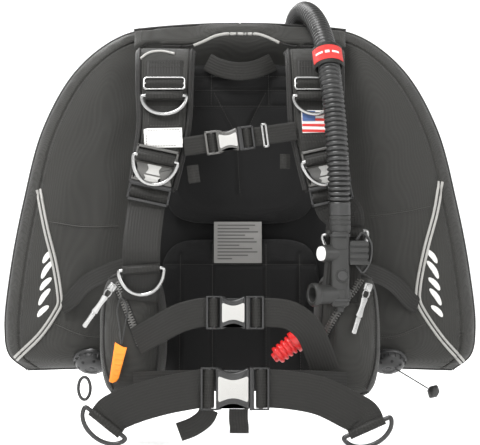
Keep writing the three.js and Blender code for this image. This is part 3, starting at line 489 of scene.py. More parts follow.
orangePlastic = finish("orangePlastic", (0.85, 0.24, 0.012), 0.42, tint=0.08, grain=1300.0)
piping = finish("reflectivePiping", (0.36, 0.355, 0.335), 0.3, tint=0.12, weave="web", pitch=1.2, metal=0.15)
printWhite = finish("whitePrint", (0.68, 0.67, 0.65), 0.55, tint=0.08, weave="cloth", pitch=1.3)
badgeRed = finish("badgeRed", (0.55, 0.022, 0.018), 0.45, tint=0.12, weave="cloth", pitch=0.8)
patchBlue = finish("patchBlue", (0.06, 0.11, 0.26), 0.7, weave="cloth", pitch=0.8)
labelGrey = finish("labelGrey", (0.15, 0.147, 0.139), 0.5, tint=0.12)
labelInk = finish("labelInk", (0.045, 0.043, 0.041), 0.6)
# near-black for vents and buckle mouths: painted shade standing in for the dark insides of openings
openingShade = finish("paintedOpeningShade", (0.004, 0.004, 0.004), 0.8, tint=0.1)
print("finishes ready")

# Inflator hose: the cord. Its line from the elbow over the wing and down to the inflator.

hose = {
    "route": [(74, 72, 236), (75, 70, 252), (77, 63, 272), (80, 50, 286), (84, 32, 293), (89, 10, 295.5),
              (95, -12, 292), (101, -33, 284), (107, -54, 271), (112, -78, 254), (116, -101, 235),
              (119, -119, 213), (122, -139, 184), (126, -153, 140), (129, -165, 90), (131, -167, 45),
              (132, -165, 10)],
    "radius": 15.0, "groove": 3.3, "pitch": 6.5, "cuff": 17.0, "sides": 30,
    "bandAt": (118.4, -114.6, 217.5), "bandAxis": (0.09, -0.54, -0.83),
    "inflator": (132, -165, 10),
}

hoseLine = stepped(hose["route"], 0.93)
hoseRun = lengths(hoseLine)
hoseLong = hoseRun[-1]
fromEnd = np.minimum(hoseRun, hoseLong - hoseRun)
# each rib is a rounded crest between two narrow grooves: radius - groove (1 - |sin|^0.55)
crest = np.abs(np.sin(math.pi * hoseRun / hose["pitch"])) ** 0.55
plain = smooth(hose["cuff"], hose["cuff"] - 5, fromEnd)
hoseRadius = hose["radius"] - hose["groove"] * (1 - crest) * (1 - plain) - 0.5 * plain
inflatorHose = meshObject("inflatorHose", [tube(hoseLine, hoseRadius, hose["sides"])], rubber, angle=60)
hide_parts("inflator_hose")

# Dump valve pull: a short cord with a knob.
pull = {"seat": (206.9, -3, -190), "direction": (0.86, -0.1, -0.5), "start": (8, -13, -13), "radius": 1.0}
pullWay = unit(vec(*pull["direction"]))
pullFrom = vec(*pull["seat"]) + vec(*pull["start"])
pullRuns = np.array([1.0, 14, 28, 41, 54])
pullLine = pullFrom + pullRuns[:, None] * pullWay + np.maximum(pullRuns - 20, 0)[:, None] * vec(0, 0, -0.02)
pullPath = stepped(pullLine, 1.5)
dumpCord = meshObject("dumpPullCord", [tube(pullPath, pull["radius"], 8)], rubber)
fit(dumpCord, "rubber", "dump_pull_cord", body="dump_pull_part")
knobAt = pullLine[-1] + pullWay * 0.35
knobProfile = [(0, 3.2), (0.8, 4.2), (6.2, 9.6), (7.6, 10.3), (9.2, 10.3), (10.6, 9.4), (15.2, 5.0),
               (16, 4.0), (16, 2.4), (13, 2.2), (12.8, 0.05)]
dumpKnob = piece("dumpPullKnob", [turned(knobProfile, knobAt, pullWay, 24)], moulded, "hard_plastic",
                 "dump_pull_knob", body="dump_pull_part")
print("cords ready: hose", round(hoseLong), "mm, dump pull", round(lengths(pullPath)[-1]), "mm")


# Wing: the two covers, from edge curves given in shares of its width and height.

wing = {
    "half": 331, "top": 279, "bottom": -208, "band": 129, "gapHalf": 116,
    "outer": [(0, 1), (.3, .99), (.5, .965), (.69, .868), (.834, .7), (.918, .489), (.976, .283), (1, .119),
              (.982, .045), (.906, .002)],
    "inner": [(0, 0), (.43, -.002), (.72, -.035), (.905, -.107), (.991, -.226), (1, -.37), (1, -.53),
              (1.017, -.655), (1.034, -.69), (1.052, -.72)],
    "frontDepth": (18, 40), "rearDepth": (24, 38), "skin": 2.57, "thick": 2.2,
    "hem": 0.1, "hemDeep": 3.0, "pucker": 1.1, "fold": 3.6,
}
wingHigh = wing["top"] - wing["bottom"]
outerPoints = np.array([(x * wing["half"], wing["bottom"] + z * wingHigh, 0) for x, z in wing["outer"]])
innerPoints = np.array([(x * wing["gapHalf"], wing["top"] - wing["band"] + z * wingHigh, 0)
                        for x, z in wing["inner"]])


# A wing point from u (-1 to 1 along the horseshoe) and t (inner edge 0, outer edge 1). The cover
# swells from the middle plane by depth * sqrt(1 - (2t - 1)^2), faded out at the lobes' ends.
def wingSurface(u, t, rear, extra=0.0):
    share = np.abs(u)
    inner, outer = curveAt(innerPoints, share.ravel()), curveAt(outerPoints, share.ravel())
    inner, outer = inner.reshape(*share.shape, 3), outer.reshape(*share.shape, 3)
    flat = inner + (outer - inner) * t[..., None]
    x, z = flat[..., 0], flat[..., 1]
    swell = np.sqrt(np.clip(1 - (2 * t - 1) ** 2, 0, 1))
    fade = np.sqrt(np.clip(1 - (np.maximum(share - 0.8, 0) / 0.2) ** 2, 0, 1))
    middle = 22 + 10 * (x / wing["half"]) ** 2 + 8 * (1 - smooth(0.05, 0.3, share))
    beside = smooth(wing["gapHalf"] - 4, wing["gapHalf"] + 78, x)
    low, high = wing["rearDepth"] if rear else wing["frontDepth"]
    depth = (low + (high - low) * beside) * swell * fade
    x = x * np.sign(u)
    # sewn hem line near the outer edge, its puckers, and slow folds across the cloth
    hemLine = wing["hemDeep"] * np.exp(-((t - (1 - wing["hem"])) / 0.012) ** 2)
    along = share * 1100
    pucker = wing["pucker"] * np.sin(along * 2 * math.pi / 13 + 2 * np.sin(along / 31)) \
        * np.exp(-((t - (1 - wing["hem"])) / 0.045) ** 2)
    fold = wing["fold"] * (np.sin(x / 23 + z / 41 + 1.3) * np.sin(z / 57 - x / 90)
                           + 0.5 * np.sin(x / 11 - z / 17 + np.sin(z / 40))) * 0.35
    edge = wing["pucker"] * np.sin(along * 2 * math.pi / 9) * np.exp(-((t - 0.985) / 0.02) ** 2)
    detail = ((pucker + fold + edge - hemLine) * smooth(0, 0.06, t) * smooth(1, 0.97, t)
              * smooth(0, 0.25, fade))
    way = 1 if rear else -1
    y = middle + way * (wing["skin"] + depth + detail - extra)
    return np.stack([x, y, z], -1)


# Both faces of a cover on one grid, joined at every border into a closed shell.
def coverPart(rear):
    ends = 0.8 + 0.2 * np.sin(np.linspace(0, math.pi / 2, 26))
    share = np.r_[np.linspace(0, 0.8, 120)[:-1], ends]
    u = np.r_[-share[:0:-1], share]
    t = (1 - np.cos(np.linspace(0, math.pi, 54))) / 2
    t = np.sort(np.r_[t, np.linspace(0.86, 0.94, 12)])
    uu, tt = np.meshgrid(u, t, indexing="ij")
    skin, inside = wingSurface(uu, tt, rear), wingSurface(uu, tt, rear, wing["thick"])
    rows, columns = uu.shape
    grid = gridFaces(rows, columns)
    rim = np.r_[np.arange(rows) * columns, (rows - 1) * columns + np.arange(1, columns),
                (rows - 2 - np.arange(rows - 1)) * columns + columns - 1, np.arange(columns - 2, 0, -1)]
    ahead = np.roll(rim, -1)
    shift = rows * columns
    walls = np.stack([rim, ahead, ahead + shift, rim + shift], -1)
    points = np.concatenate([skin.reshape(-1, 3), inside.reshape(-1, 3)])
    uv = np.concatenate([skin.reshape(-1, 3), inside.reshape(-1, 3)])[:, [0, 2]] / 100
    return points, [grid, grid[:, ::-1] + shift, walls], uv


wingFront = piece("wingFrontCover", [coverPart(False)], nylon, "nylon_fabric", "wing_front_cover", angle=70)
piece("wingRearCover", [coverPart(True)], nylon, "nylon_fabric", "wing_rear_cover", angle=70)
wingTree = treeOf(wingFront)

# Binding sewn over the edge where the two covers meet, outside and round the tank space
edgeShare = np.r_[np.linspace(-1, 1, 260)]
edges = []
for t in (0.0, 1.0):
    line = wingSurface(edgeShare, np.full(len(edgeShare), t), False)
    line[:, 1] += wing["skin"]
    edges.append(tube(stepped(line, 3.0), 2.6, 8, level=(0, 1, 0)))
for sign in (-1, 1):
    t = np.linspace(0.0, 1.0, 60)
    line = wingSurface(np.full(60, sign * 1.0), t, False)
    line[:, 1] += wing["skin"]
    edges.append(tube(stepped(line, 3.0), 2.6, 8, level=(0, 1, 0)))
piece("wingEdgeBinding", edges, binding, "nylon_fabric")

wingMarks = {
    "pipingRight": [(-282, 46), (-277, 20), (-270, -12), (-259, -55), (-252, -95), (-251, -113), (-256, -124),
                    (-279, -157), (-315, -191)],
    "pipingLeft": [(281, 57), (274, 17), (259, -38), (249, -87), (248, -108), (254, -122), (280, -160),
                   (313, -196)],
    "pipingTop": [[(-142, 271), (-143, 261), (-139, 248)], [(137, 270), (135, 261), (130, 250)]],
    "seams": [[(-266, 1), (-216, -6), (-170, -5)], [(181, 9), (223, 14), (268, 23)],
              [(-262, -140), (-215, -158), (-172, -160)], [(262, -140), (215, -158), (172, -160)]],
    "strokes": [(-47, 30), (-66, 38), (-86, 27), (-104, 36), (-124, 24)],
}
cords, darkLine = [], []
for line in (wingMarks["pipingRight"], wingMarks["pipingLeft"], *wingMarks["pipingTop"]):
    dense = flatLine(line, 2.5)
    wide = 2.6 if len(line) > 4 else 1.7
    normal = unit(np.gradient(dense, axis=0))[:, ::-1] * vec(1, -1)
    for way in (-1, 1):
        path, _ = laidOn(wingTree, dense + normal * way * wide, 0.6)
        cords.append(tube(path, 2.1 if len(line) > 4 else 1.7, 10, level=(0, 1, 0)))
    path, _ = laidOn(wingTree, dense, 0.5)
    darkLine.append(tube(path, 1.1, 6, level=(0, 1, 0)))
piece("wingPiping", cords, piping, "nylon_fabric")
piece("wingPipingSeam", darkLine, binding, "nylon_fabric")

seams = []
for line in wingMarks["seams"]:
    path, normal = laidOn(wingTree, flatLine(line, 2.0), 0.15)
    across = unit(np.cross(unit(np.gradient(path, axis=0)), normal))
    seams += [stitches(path + across * way * 2.4, normal) for way in (-1, 1)]
    seams.append(tube(path, 0.9, 6, level=(0, 1, 0)))
for rear in (False, True):
    for inset in (0.085, 0.115):
        line = wingSurface(edgeShare * 0.985, np.full(len(edgeShare), 1 - inset), rear, -0.1)
        seams.append(stitches(stepped(line, 2.0), (0, 1 if rear else -1, 0)))
    line = wingSurface(edgeShare * 0.985, np.full(len(edgeShare), 0.09), rear, -0.1)
    seams.append(stitches(stepped(line, 2.0), (0, 1 if rear else -1, 0)))
piece("wingStitching", seams, thread, "nylon_fabric")

# A plain printed device of slanted strokes on each lobe
strokes = []
for side in (-1, 1):
    for z, tall in wingMarks["strokes"]:
        x = side * (270 + (z + 86) * -0.1)
        reach = tall * 0.32
        line = flatLine([(x - side * 7, z + reach), (x + side * 3, z), (x + side * 9, z - reach)], 2)
        path, normal = laidOn(wingTree, line, 0.35)
        taper = 6.5 * np.sqrt(np.clip(1 - np.linspace(-1, 1, len(path)) ** 2, 0.02, 1)) + 1
        tangent = unit(np.gradient(path, axis=0))
        across = unit(np.cross(tangent, normal))
        strokes.append(swept(path, across, unit(np.cross(across, tangent)), bandSection(taper, 0.5, 8)))
piece("lobeStrokes", strokes, printWhite, "nylon_fabric")
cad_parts["air_bladder"].data.materials.clear()
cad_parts["air_bladder"].data.materials.append(urethane)
print("wing ready")


# Dump valves: flange, vented dome and cap on each lobe's foot.

valve = {"axis": (0, -0.55, -0.835), "holes": 7, "hole": 2.3}
for side, label in ((-1, "right"), (1, "left")):
    seat = vec(*pull["seat"]) * vec(side, 1, 1)
    axis = unit(vec(*valve["axis"]))
    body = turned([(-6, 17.5), (0, 18), (0.1, 26), (0.9, 27), (3.6, 27), (4.8, 26.2), (5.0, 24.2),
                   (5.6, 23.5), (9.5, 23.2), (12.6, 21.4), (14.0, 19.8), (16.4, 16.2), (17.6, 12.8),
                   (18, 9.5), (17.2, 8.8), (17.2, 4.4), (18, 3.6), (18, 0.05)], seat, axis, 48)
    ribs, holes = [], []
    sideways = vec(1, 0, 0)
    upward = np.cross(axis, sideways)
    turn = np.arange(16) * 2 * math.pi / 16
    spokes = np.cos(turn)[:, None] * sideways + np.sin(turn)[:, None] * upward
    for spoke in spokes:
        ribs.append(tube(np.stack([seat + axis * 5 + spoke * 24, seat + axis * 10.5 + spoke * 23]), 0.9, 6))
    # each vent is a near-black disc set on the dome: painted shade in place of an open hole
    ring = (np.arange(valve["holes"]) + 0.5) * 2 * math.pi / valve["holes"]
    for angle in ring:
        spoke = math.cos(angle) * sideways + math.sin(angle) * upward
        out = unit(axis * 0.8 + spoke * 0.6)
        holes.append(turned([(-2, valve["hole"]), (0.25, valve["hole"]), (0.3, valve["hole"] * 0.9)],
                            seat + axis * 15.0 + spoke * 18.2, out, 14))
    piece(f"{label}DumpValve", [body, *ribs], plastic, "hard_plastic", f"{label}_dump_valve")
    piece(f"{label}DumpValveVentShade", holes, openingShade, "hard_plastic")
print("valves ready")


# Padded pieces

def readPoints(obj, what="co"):
    values = np.empty(len(obj.data.vertices) * 3, np.float32)
    obj.data.vertices.foreach_get(what, values)
    return values.reshape(-1, 3).astype(float)


def writePoints(obj, points):
    obj.data.vertices.foreach_set("co", (points * mm).astype(np.float32).ravel())
    obj.data.update()


def applyAll(obj):
    seen = bpy.context.evaluated_depsgraph_get()
    made = bpy.data.meshes.new_from_object(obj.evaluated_get(seen))
    obj.modifiers.clear()
    obj.data = made


# A stuffed piece: an even remesh, cloth under gentle pressure with its travel capped, one subdivision.
def stuffed(name, part, material, travel, voxel=5.0, pressure=4.0, frames=20):
    obj = meshObject(name, [part], material, 60)
    remesh = obj.modifiers.new("even", "REMESH")
    remesh.mode, remesh.voxel_size = "VOXEL", voxel * mm
    applyAll(obj)
    start = readPoints(obj) / mm
    cloth = obj.modifiers.new("swell", "CLOTH")
    cloth.settings.use_pressure = True
    cloth.settings.uniform_pressure_force = pressure
    cloth.settings.effector_weights.gravity = 0
    cloth.point_cache.frame_start, cloth.point_cache.frame_end = 1, frames
    for step in range(1, frames + 1):
        bpy.context.scene.frame_set(step)
    blown = obj.evaluated_get(bpy.context.evaluated_depsgraph_get())
    values = np.empty(len(blown.data.vertices) * 3, np.float32)
    blown.data.vertices.foreach_get("co", values)
    moved = values.reshape(-1, 3) / mm - start
    far = np.linalg.norm(moved, axis=1, keepdims=True)
    obj.modifiers.clear()
    bpy.context.scene.frame_set(1)
    writePoints(obj, start + moved * np.minimum(1, travel / np.maximum(far, 1e-6)))
    finer = obj.modifiers.new("finer", "SUBSURF")
    finer.levels = finer.render_levels = 1
    applyAll(obj)
    obj.data.shade_smooth()
    obj.data.materials.clear()
    obj.data.materials.append(material)
    return obj


# Sewn channels pressed into the front of a pad: depth * exp(-(distance / width)^2), along +Y.
def channels(obj, lines, depth=3.0, width=3.2):
    points, normals = readPoints(obj) / mm, readPoints(obj, "normal")
    facing = smooth(0.1, -0.5, normals[:, 1])
    pressed = np.zeros(len(points))
    for line in lines:
        near = distanceTo(points[:, [0, 2]], flatLine(line, 8.0) if len(line) > 2 else line)
        pressed = np.maximum(pressed, np.exp(-(near / width) ** 2))
    points[:, 1] += depth * pressed * facing
    writePoints(obj, points)


# A cushion: a sphere's directions raised to a power, which pushes it out towards its box.
def pillowPart(centre, half, power, rows=46, columns=72):
    down = np.linspace(0.004, math.pi - 0.004, rows)[:, None]
    turn = (np.arange(columns) * 2 * math.pi / columns)[None]
    axes = [np.sin(down) * np.cos(turn), np.sin(down) * np.sin(turn), np.cos(down) + 0 * turn]
    pushed = [np.sign(a) * np.abs(a) ** power for a in axes]
    points = vec(*centre) + np.stack(pushed, -1) * vec(*half)
    points = points.reshape(-1, 3)
    faces = [gridFaces(rows, columns, False, True), np.arange(columns)[None, ::-1],
             (rows - 1) * columns + np.arange(columns)[None]]
    return points, faces, points[:, [0, 2]] / 100


def restOn(obj, y):  # flat where a pad lies on the plate
    points = readPoints(obj) / mm
    points[:, 1] = np.minimum(points[:, 1], y)
    writePoints(obj, points)


pads = {
    "back": {"centre": (0, -20, 109), "half": (109, 10.5, 116), "power": 0.4, "travel": 5,
             "lines": [[(-96, 219), (96, 219)], [(-94, 202), (94, 202)], [(-98, 183), (98, 183)],
                       [(-100, 161), (100, 161)], [(-39, 222), (-40, 161)], [(39, 222), (40, 161)],
                       [(-36, 180), (-20, 149), (-7, 121), (0, 40)], [(36, 180), (20, 149), (7, 121)]]},
    "lumbar": {"centre": (0, -24.5, -129), "half": (115, 14.5, 110), "power": 0.4, "travel": 5,
               "lines": [[(-38, -30), (-38, -228)], [(36, -30), (36, -228)], [(-82, -44), (-84, -222)],
                         [(82, -44), (84, -222)], [(-104, -58), (104, -58)]]},
}
# the cloth panel that the pads are sewn to, which closes the gaps between the pads and the wing
panel = {"half": (138, 122), "centre": (0, -12), "corner": 40, "at": (-6.6, -4.9)}
panelOutline = roundRect(*panel["centre"], *panel["half"], panel["corner"], 12)
piece("harnessPanel", [slab(panelOutline, *panel["at"], 0.6)], padCloth, "nylon_fabric")
for label, pad in pads.items():
    cushion = pillowPart(pad["centre"], pad["half"], pad["power"])
    obj = stuffed(f"{label}Pad", cushion, padCloth, pad["travel"])
    restOn(obj, -7.0)
    channels(obj, pad["lines"])
    fit(obj, "padded_mesh", f"{label}_pad")
    tree = treeOf(obj)
    sewn = []
    for line in pad["lines"]:
        path, normal = laidOn(tree, flatLine(line, 2.0), 0.1)
        sewn.append(stitches(path, normal, radius=0.4))
    piece(f"{label}PadStitching", sewn, thread, "padded_mesh")
print("pads ready")

# Collar: a padded yoke along the wing's top edge, arched over the neck, with reflective piping.
collar = {"half": 150, "thick": 8.0}
collarX = np.linspace(-collar["half"] + 2, collar["half"] - 2, 61)
collarLow = 244 + 18 * (1 - smooth(20, 75, np.abs(collarX)))
collarHigh = 277 - 9 * (collarX / collar["half"]) ** 2
across = unit(np.stack([0 * collarX, np.full(61, 27.0), collarHigh - collarLow], -1))
outward = unit(np.cross(across, vec(1, 0, 0)))
collarMid = np.stack([collarX, np.full(61, -18.5), (collarLow + collarHigh) / 2], -1)
collarWide = np.hypot(27.0, collarHigh - collarLow)
collarRoll = swept(collarMid, across, outward, bandSection(collarWide, collar["thick"] - 2, 14, 0))
collarPad = stuffed("collarYoke", collarRoll, nylon, 2.0, voxel=4.0)
fit(collarPad, "nylon_fabric", "collar_panel")
lowEdge = collarMid - across * (collarWide / 2)[:, None]
highEdge = collarMid + across * (collarWide / 2)[:, None]
neck = (np.abs(collarX) < 66)
leftShoulder = np.abs(collarX - 88) < 13
piece("collarPiping", [tube(stepped(lowEdge[neck][::3] + vec(0, -3.2, -1), 2.0), 2.1, 10),
                       tube(stepped(lowEdge[leftShoulder][::2] + vec(0, -3.2, -1), 2.0), 1.9, 10)],
      piping, "nylon_fabric")
piece("collarBinding", [tube(stepped(highEdge[::3], 3.0), 2.4, 8), tube(stepped(lowEdge[::3], 3.0), 1.9, 8)],
      binding, "nylon_fabric")
handle = {"path": [(-45, -34, 222), (-30, -44, 214.2), (-15, -50, 209.6), (0, -52, 208), (15, -50, 209.6),
                   (30, -44, 214.2), (45, -34, 222)], "width": 25, "thick": 3}
handleBand = band(handle["path"], (0, -1, 0), handle["width"], handle["thick"])
piece("carryHandle", [handleBand], webbing, "webbing", "carry_handle")
print("collar ready")


# Straps: padded shoulder straps with bound edges.

strap = {
    "route": [(101, -41, 233), (102, -58, 233), (102, -84, 215), (102, -103, 180), (102, -113, 135),
              (109, -116, 90), (117, -116, 50)],
    "face": [(0, -.05, 1), (0, -.38, .92), (0, -.76, .65), (0, -.93, .37), (0, -.99, .12), (0, -1, 0),
             (0, -1, 0)],
    "width": [78, 78, 76, 74, 70, 66, 62], "thick": 12, "travel": 2.0,
}
strapTrees = {}
shares = np.linspace(0, 1, 121)
strapMid = curveAt(strap["route"], shares)
strapTangent = unit(np.gradient(strapMid, axis=0))
strapAcross = unit(np.cross(strapTangent, unit(spread(strap["face"], shares))))
strapOut = unit(np.cross(strapAcross, strapTangent))
strapWide = spread(strap["width"], shares)
for side, label in ((-1, "right"), (1, "left")):
    turnOver = vec(side, 1, 1)
    body = swept(strapMid * turnOver, strapAcross * turnOver, strapOut * turnOver,
                 bandSection(strapWide - 5, strap["thick"] - 3.4, 14, 0))
    obj = stuffed(f"{label}ShoulderStrap", body, nylon, strap["travel"], voxel=4.0)
    fit(obj, "padded_mesh", f"{label}_shoulder_strap")
    strapTrees[side] = treeOf(obj)
    edges, rows = [], []
    for way in (-1, 1):
        for lift, inset, size in ((0, 1.2, 3.6), (strap["thick"] / 2 - 2.2, 3.0, 2.2)):
            line = strapMid + strapAcross * (way * (strapWide / 2 - inset))[:, None] + strapOut * lift
            edges.append(tube(stepped(line[::6] * turnOver, 2.5), size, 10))
        inward = (way * (strapWide / 2 - 7.5))[:, None]
        line = strapMid + strapAcross * inward + strapOut * (strap["thick"] / 2 - 0.3)
        rows.append(stitches(stepped(line[::6] * turnOver, 2.0), strapOut[60] * turnOver, radius=0.5))
    end = strapMid[-1] + strapAcross[-1] * np.linspace(-0.49, 0.49, 9)[:, None] * strapWide[-1]
    edges.append(tube(end * turnOver, 3.9, 10, level=(0, 1, 0)))
    piece(f"{label}StrapBinding", edges, binding, "padded_mesh")
    piece(f"{label}StrapStitching", rows, thread, "padded_mesh")
arch = laidOn(strapTrees[-1], flatLine([(-137, 220), (-125, 230), (-108, 233), (-89, 229)], 2.0), 1.4)[0]
piece("rightStrapArchPiping", [tube(arch, 1.9, 10, level=(0, 1, 0))], piping, "nylon_fabric")
print("shoulder straps ready")


# Webbing: width, the way it faces and its line, on the left side where it comes twice.

forward = (0, -1, 0)
webs = {
    "front": {"width": 50, "path": [
        (102, -89.7, 219.9), (102, -104, 194.5), (102, -108.7, 191.7), (102, -113.3, 188.9),
        (102, -112.6, 183.6), (102, -111.9, 178.3), (102, -111.5, 175.7), (102, -113.1, 168.7),
        (102, -119.3, 145.4), (104.5, -125.5, 120.1), (107.9, -127.1, 105.1), (109.4, -127.1, 98.2),
        (110.4, -130.4, 93.3), (111.6, -133.8, 88), (112.7, -130.4, 82.6), (112.7, -127.9, 82.9)]},
    "lowerRight": {"width": 50, "path": [
        (121.1, -127.9, 43.2), (121, -130.4, 43.5), (122.2, -133.8, 38.1), (123.3, -130.4, 32.7),
        (124.4, -127.1, 27.8), (125.8, -127.1, 21), (131, -155.4, -36), (131, -154.4, -62),
        (131, -152.4, -84), (133, -148, -104)]},
    "lowerLeft": {"width": 50, "path": [
        (121.1, -127.9, 43.2), (121, -130.4, 43.5), (122.2, -133.8, 38.1), (123.3, -130.4, 32.7),
        (124.4, -127.1, 27.8), (125.8, -127.1, 21), (140, -128.4, 12), (140, -127.4, -14), (140, -125.4, -36),
        (133, -148, -104)]},
    "side": {"width": 25, "face": (0.1, -0.95, 0.25), "path": [
        (150, -92, -58), (180, -76, -68), (212, -46, -84), (239.5, -20.6, -111.1), (247.5, -17, -115.1)]},
    "chestRight": {"width": 25, "path": [
        (-75.4, -124.7, 101.6), (-51.2, -124.7, 105.1), (-44.7, -124.7, 106), (-41, -128, 106.5),
        (-37, -131.3, 107), (-33.1, -128, 107.6), (-33.3, -125.5, 107.6)]},
    "chestLeft": {"width": 25, "path": [
        (75.1, -124.7, 122.8), (49.4, -124.7, 119.2), (24.1, -124.7, 115.6), (17.7, -124.7, 114.7),
        (14, -128, 114.2), (10, -131.3, 113.7), (6, -128, 113.1), (6.3, -125.5, 113.1)]},
    "waistRight": {"width": 38, "face": [(-.45, -.9, 0)] * 2 + [forward] * 7, "path": [
        (-138, -154, -158), (-112, -170, -143), (-78, -186, -125), (-49.5, -188.7, -118), (-43, -188.7, -118),
        (-38.8, -192, -118), (-34, -195.3, -118), (-29.3, -192, -118), (-29.5, -189.5, -118)]},
    "waistLeft": {"width": 38, "path": [
        (114, -155, -198), (104, -165, -171), (90, -178, -141), (66, -187, -122), (36.5, -188.7, -118),
        (30, -188.7, -118), (25.8, -192, -118), (21, -195.3, -118), (16.3, -192, -118),
        (16.5, -189.5, -118)]},
    "beltRight": {"width": 50, "face": [forward] * 8 + [(1, 0, 0)] + [(0, 1, 0)] * 5, "path": [
        (-173.5, -192, -258.9), (-167.3, -192, -251), (-140, -199, -238), (-100, -203, -226),
        (-64, -204, -219), (-50, -201.7, -217), (-45.5, -205, -217), (-40, -208.3, -217), (-34.5, -205, -217),
        (-40, -201.3, -217), (-50, -198.3, -217), (-60, -198, -218), (-100, -178, -220), (-140, -150, -224)]},
    "beltLeft": {"width": 50, "face": [forward] * 8 + [(-1, 0, 0)] + [(0, 1, 0)] * 5, "path": [
        (164.4, -195, -264.3), (160.3, -195, -255.2), (143, -198, -245), (106, -202, -227), (66, -204, -219),
        (37, -201.7, -217), (32.5, -205, -217), (27, -208.3, -217), (21.5, -205, -217), (27, -201.3, -217),
        (37, -198.3, -217), (64, -198, -218), (102, -178, -220), (140, -150, -224)]},
}


def webPart(key, side=1):
    web = webs[key]
    flip = vec(side, 1, 1)
    face = np.broadcast_to(np.asarray(web.get("face", forward), float), (len(web["path"]), 3))
    return band(np.array(web["path"]) * flip, face * flip, web["width"])


# Webbing sewn round a ring's bar: a ring-shaped section turned round the bar.
def sleeve(place, length, inner=3.5, outer=6.3):
    profile = [(-length / 2, inner), (-length / 2, outer - 0.4), (-length / 2 + 0.5, outer),
               (length / 2 - 0.5, outer), (length / 2, outer - 0.4), (length / 2, inner)]
    centre = place([(0, 0, 0)])[0]
    axis = place([(1, 0, 0)])[0] - centre
    points, _, uv = turned(profile, centre, axis, 28)
    return points, [gridFaces(len(profile), 28, True, True)], uv * vec(1, 0.4)


# A bent wire ring: a straight bar and a half ellipse, their corners eased by averaging along the wire.
def wireRing(place, half, drop, wire):
    turn = np.linspace(0, math.pi, 60)
    bow = np.stack([half * np.cos(turn), 0 * turn, -drop * np.sin(turn)], -1)
    bar = np.stack([np.linspace(-half, half, 42)[1:-1], np.zeros(40), np.zeros(40)], -1)
    path = np.concatenate([bow, bar])
    for _ in range(3):
        path = (np.roll(path, 1, 0) + path + np.roll(path, -1, 0)) / 3
    return tube(place(path), wire, 14, closed=True, level=(0, 1, 0))


rings = {
    "upper": {"half": 30.2, "drop": 26, "wire": 2.7}, "lower": {"half": 30.2, "drop": 36, "wire": 2.7},
    "waist": {"half": 30.2, "drop": 34, "wire": 2.7}, "belt": {"half": 34, "drop": 24, "wire": 3.0},
}
ringPlaces = {
    "right_upper_d_ring": ("upper", frameOf(102, -119.18, 170.6, 0, -1, -14), "right_upper_ring"),
    "left_upper_d_ring": ("upper", frameOf(102, -119.18, 170.6, 0, 1, -14), "left_upper_ring"),
    "right_lower_d_ring": ("lower", frameOf(112, -140, 86, -12, -1), "right_lower_ring"),
    "left_lower_d_ring": ("lower", frameOf(112, -140, 86, -12, 1), "left_lower_ring"),
    "right_waist_d_ring": ("waist", frameOf(131, -160, -62, 4, -1), "right_waist_ring"),
    "left_waist_d_ring": ("waist", frameOf(140, -133, -14, -6, 1), "left_waist_ring"),
    "right_belt_ring": ("belt", frameOf(-176, -192, -262, 38.5), "right_hip_ring"),
    "left_belt_ring": ("belt", frameOf(166, -195, -268, -24), "left_hip_ring"),
}
sleeves = {}
for nodeName, (kind, place, bodyName) in ringPlaces.items():
    metal = kind != "belt"
    words = nodeName.split("_")
    name = words[0] + "".join(word.capitalize() for word in words[1:])
    piece(name, [wireRing(place, **rings[kind])], steel if metal else plastic,
          "steel" if metal else "hard_plastic", nodeName, body=bodyName)
    sleeves[nodeName] = sleeve(place, 50, 3.5 if metal else 3.8)

for side, label in ((-1, "right"), (1, "left")):
    glide = frameOf(102, -110.6, 187.65, 0, side, -26)
    rim = roundRect(0, 0, 27.4, 9.0, 4.5, 8)
    rim = np.stack([rim[:, 0], 0 * rim[:, 0], rim[:, 1]], -1)
    parts = [tube(glide(rim), 1.6, 12, closed=True, level=(0, 1, 0)),
             tube(glide(np.stack([np.linspace(-27, 27, 9), np.zeros(9), np.zeros(9)], -1)), 1.5, 12,
                  level=(0, 1, 0))]
    piece(f"{label}UpperTriglide", parts, steel, "steel", f"{label}_upper_triglide")

    piece(f"{label}FrontWebbing", [webPart("front", side), sleeves[f"{label}_upper_d_ring"],
          sleeves[f"{label}_lower_d_ring"]], webbing, "webbing", f"{label}_shoulder_front_webbing", angle=50)
    lower = meshObject(f"{label}LowerWebbing", [webPart("lowerRight" if side < 0 else "lowerLeft", side),
                       sleeves[f"{label}_waist_d_ring"]], webbing, 50)
    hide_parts(f"{label}_shoulder_lower_webbing")
    low, high = (-30, 18) if side < 0 else (-4, 20)
    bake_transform(lower)
    piece(f"{label}SideStrap", [webPart("side", side)], webbing, "webbing", f"{label}_side_strap", angle=50)
for key, nodeName, moving in (("chestRight", "right_chest_webbing", None),
                              ("waistRight", "right_waist_webbing", None),
                              ("beltRight", "right_belt_webbing", None),
                              ("chestLeft", "left_chest_webbing", ("chest_plug", 72, 30)),
                              ("waistLeft", "left_waist_webbing", ("waist_plug", 92, 40)),
                              ("beltLeft", "left_belt_webbing", ("belt_plug", 128, 50))):
    parts = [webPart(key)]
    if key.startswith("belt"):
        parts.append(sleeves[nodeName.replace("webbing", "ring")])
    obj = meshObject(f"{key}Webbing", parts, webbing, 50)
    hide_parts(nodeName)
    if moving:
        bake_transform(obj)
    else:
        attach(obj, "root")
print("webbing and rings ready")


# Side-release buckles. Local X runs along the webbing, with the plug on +X.

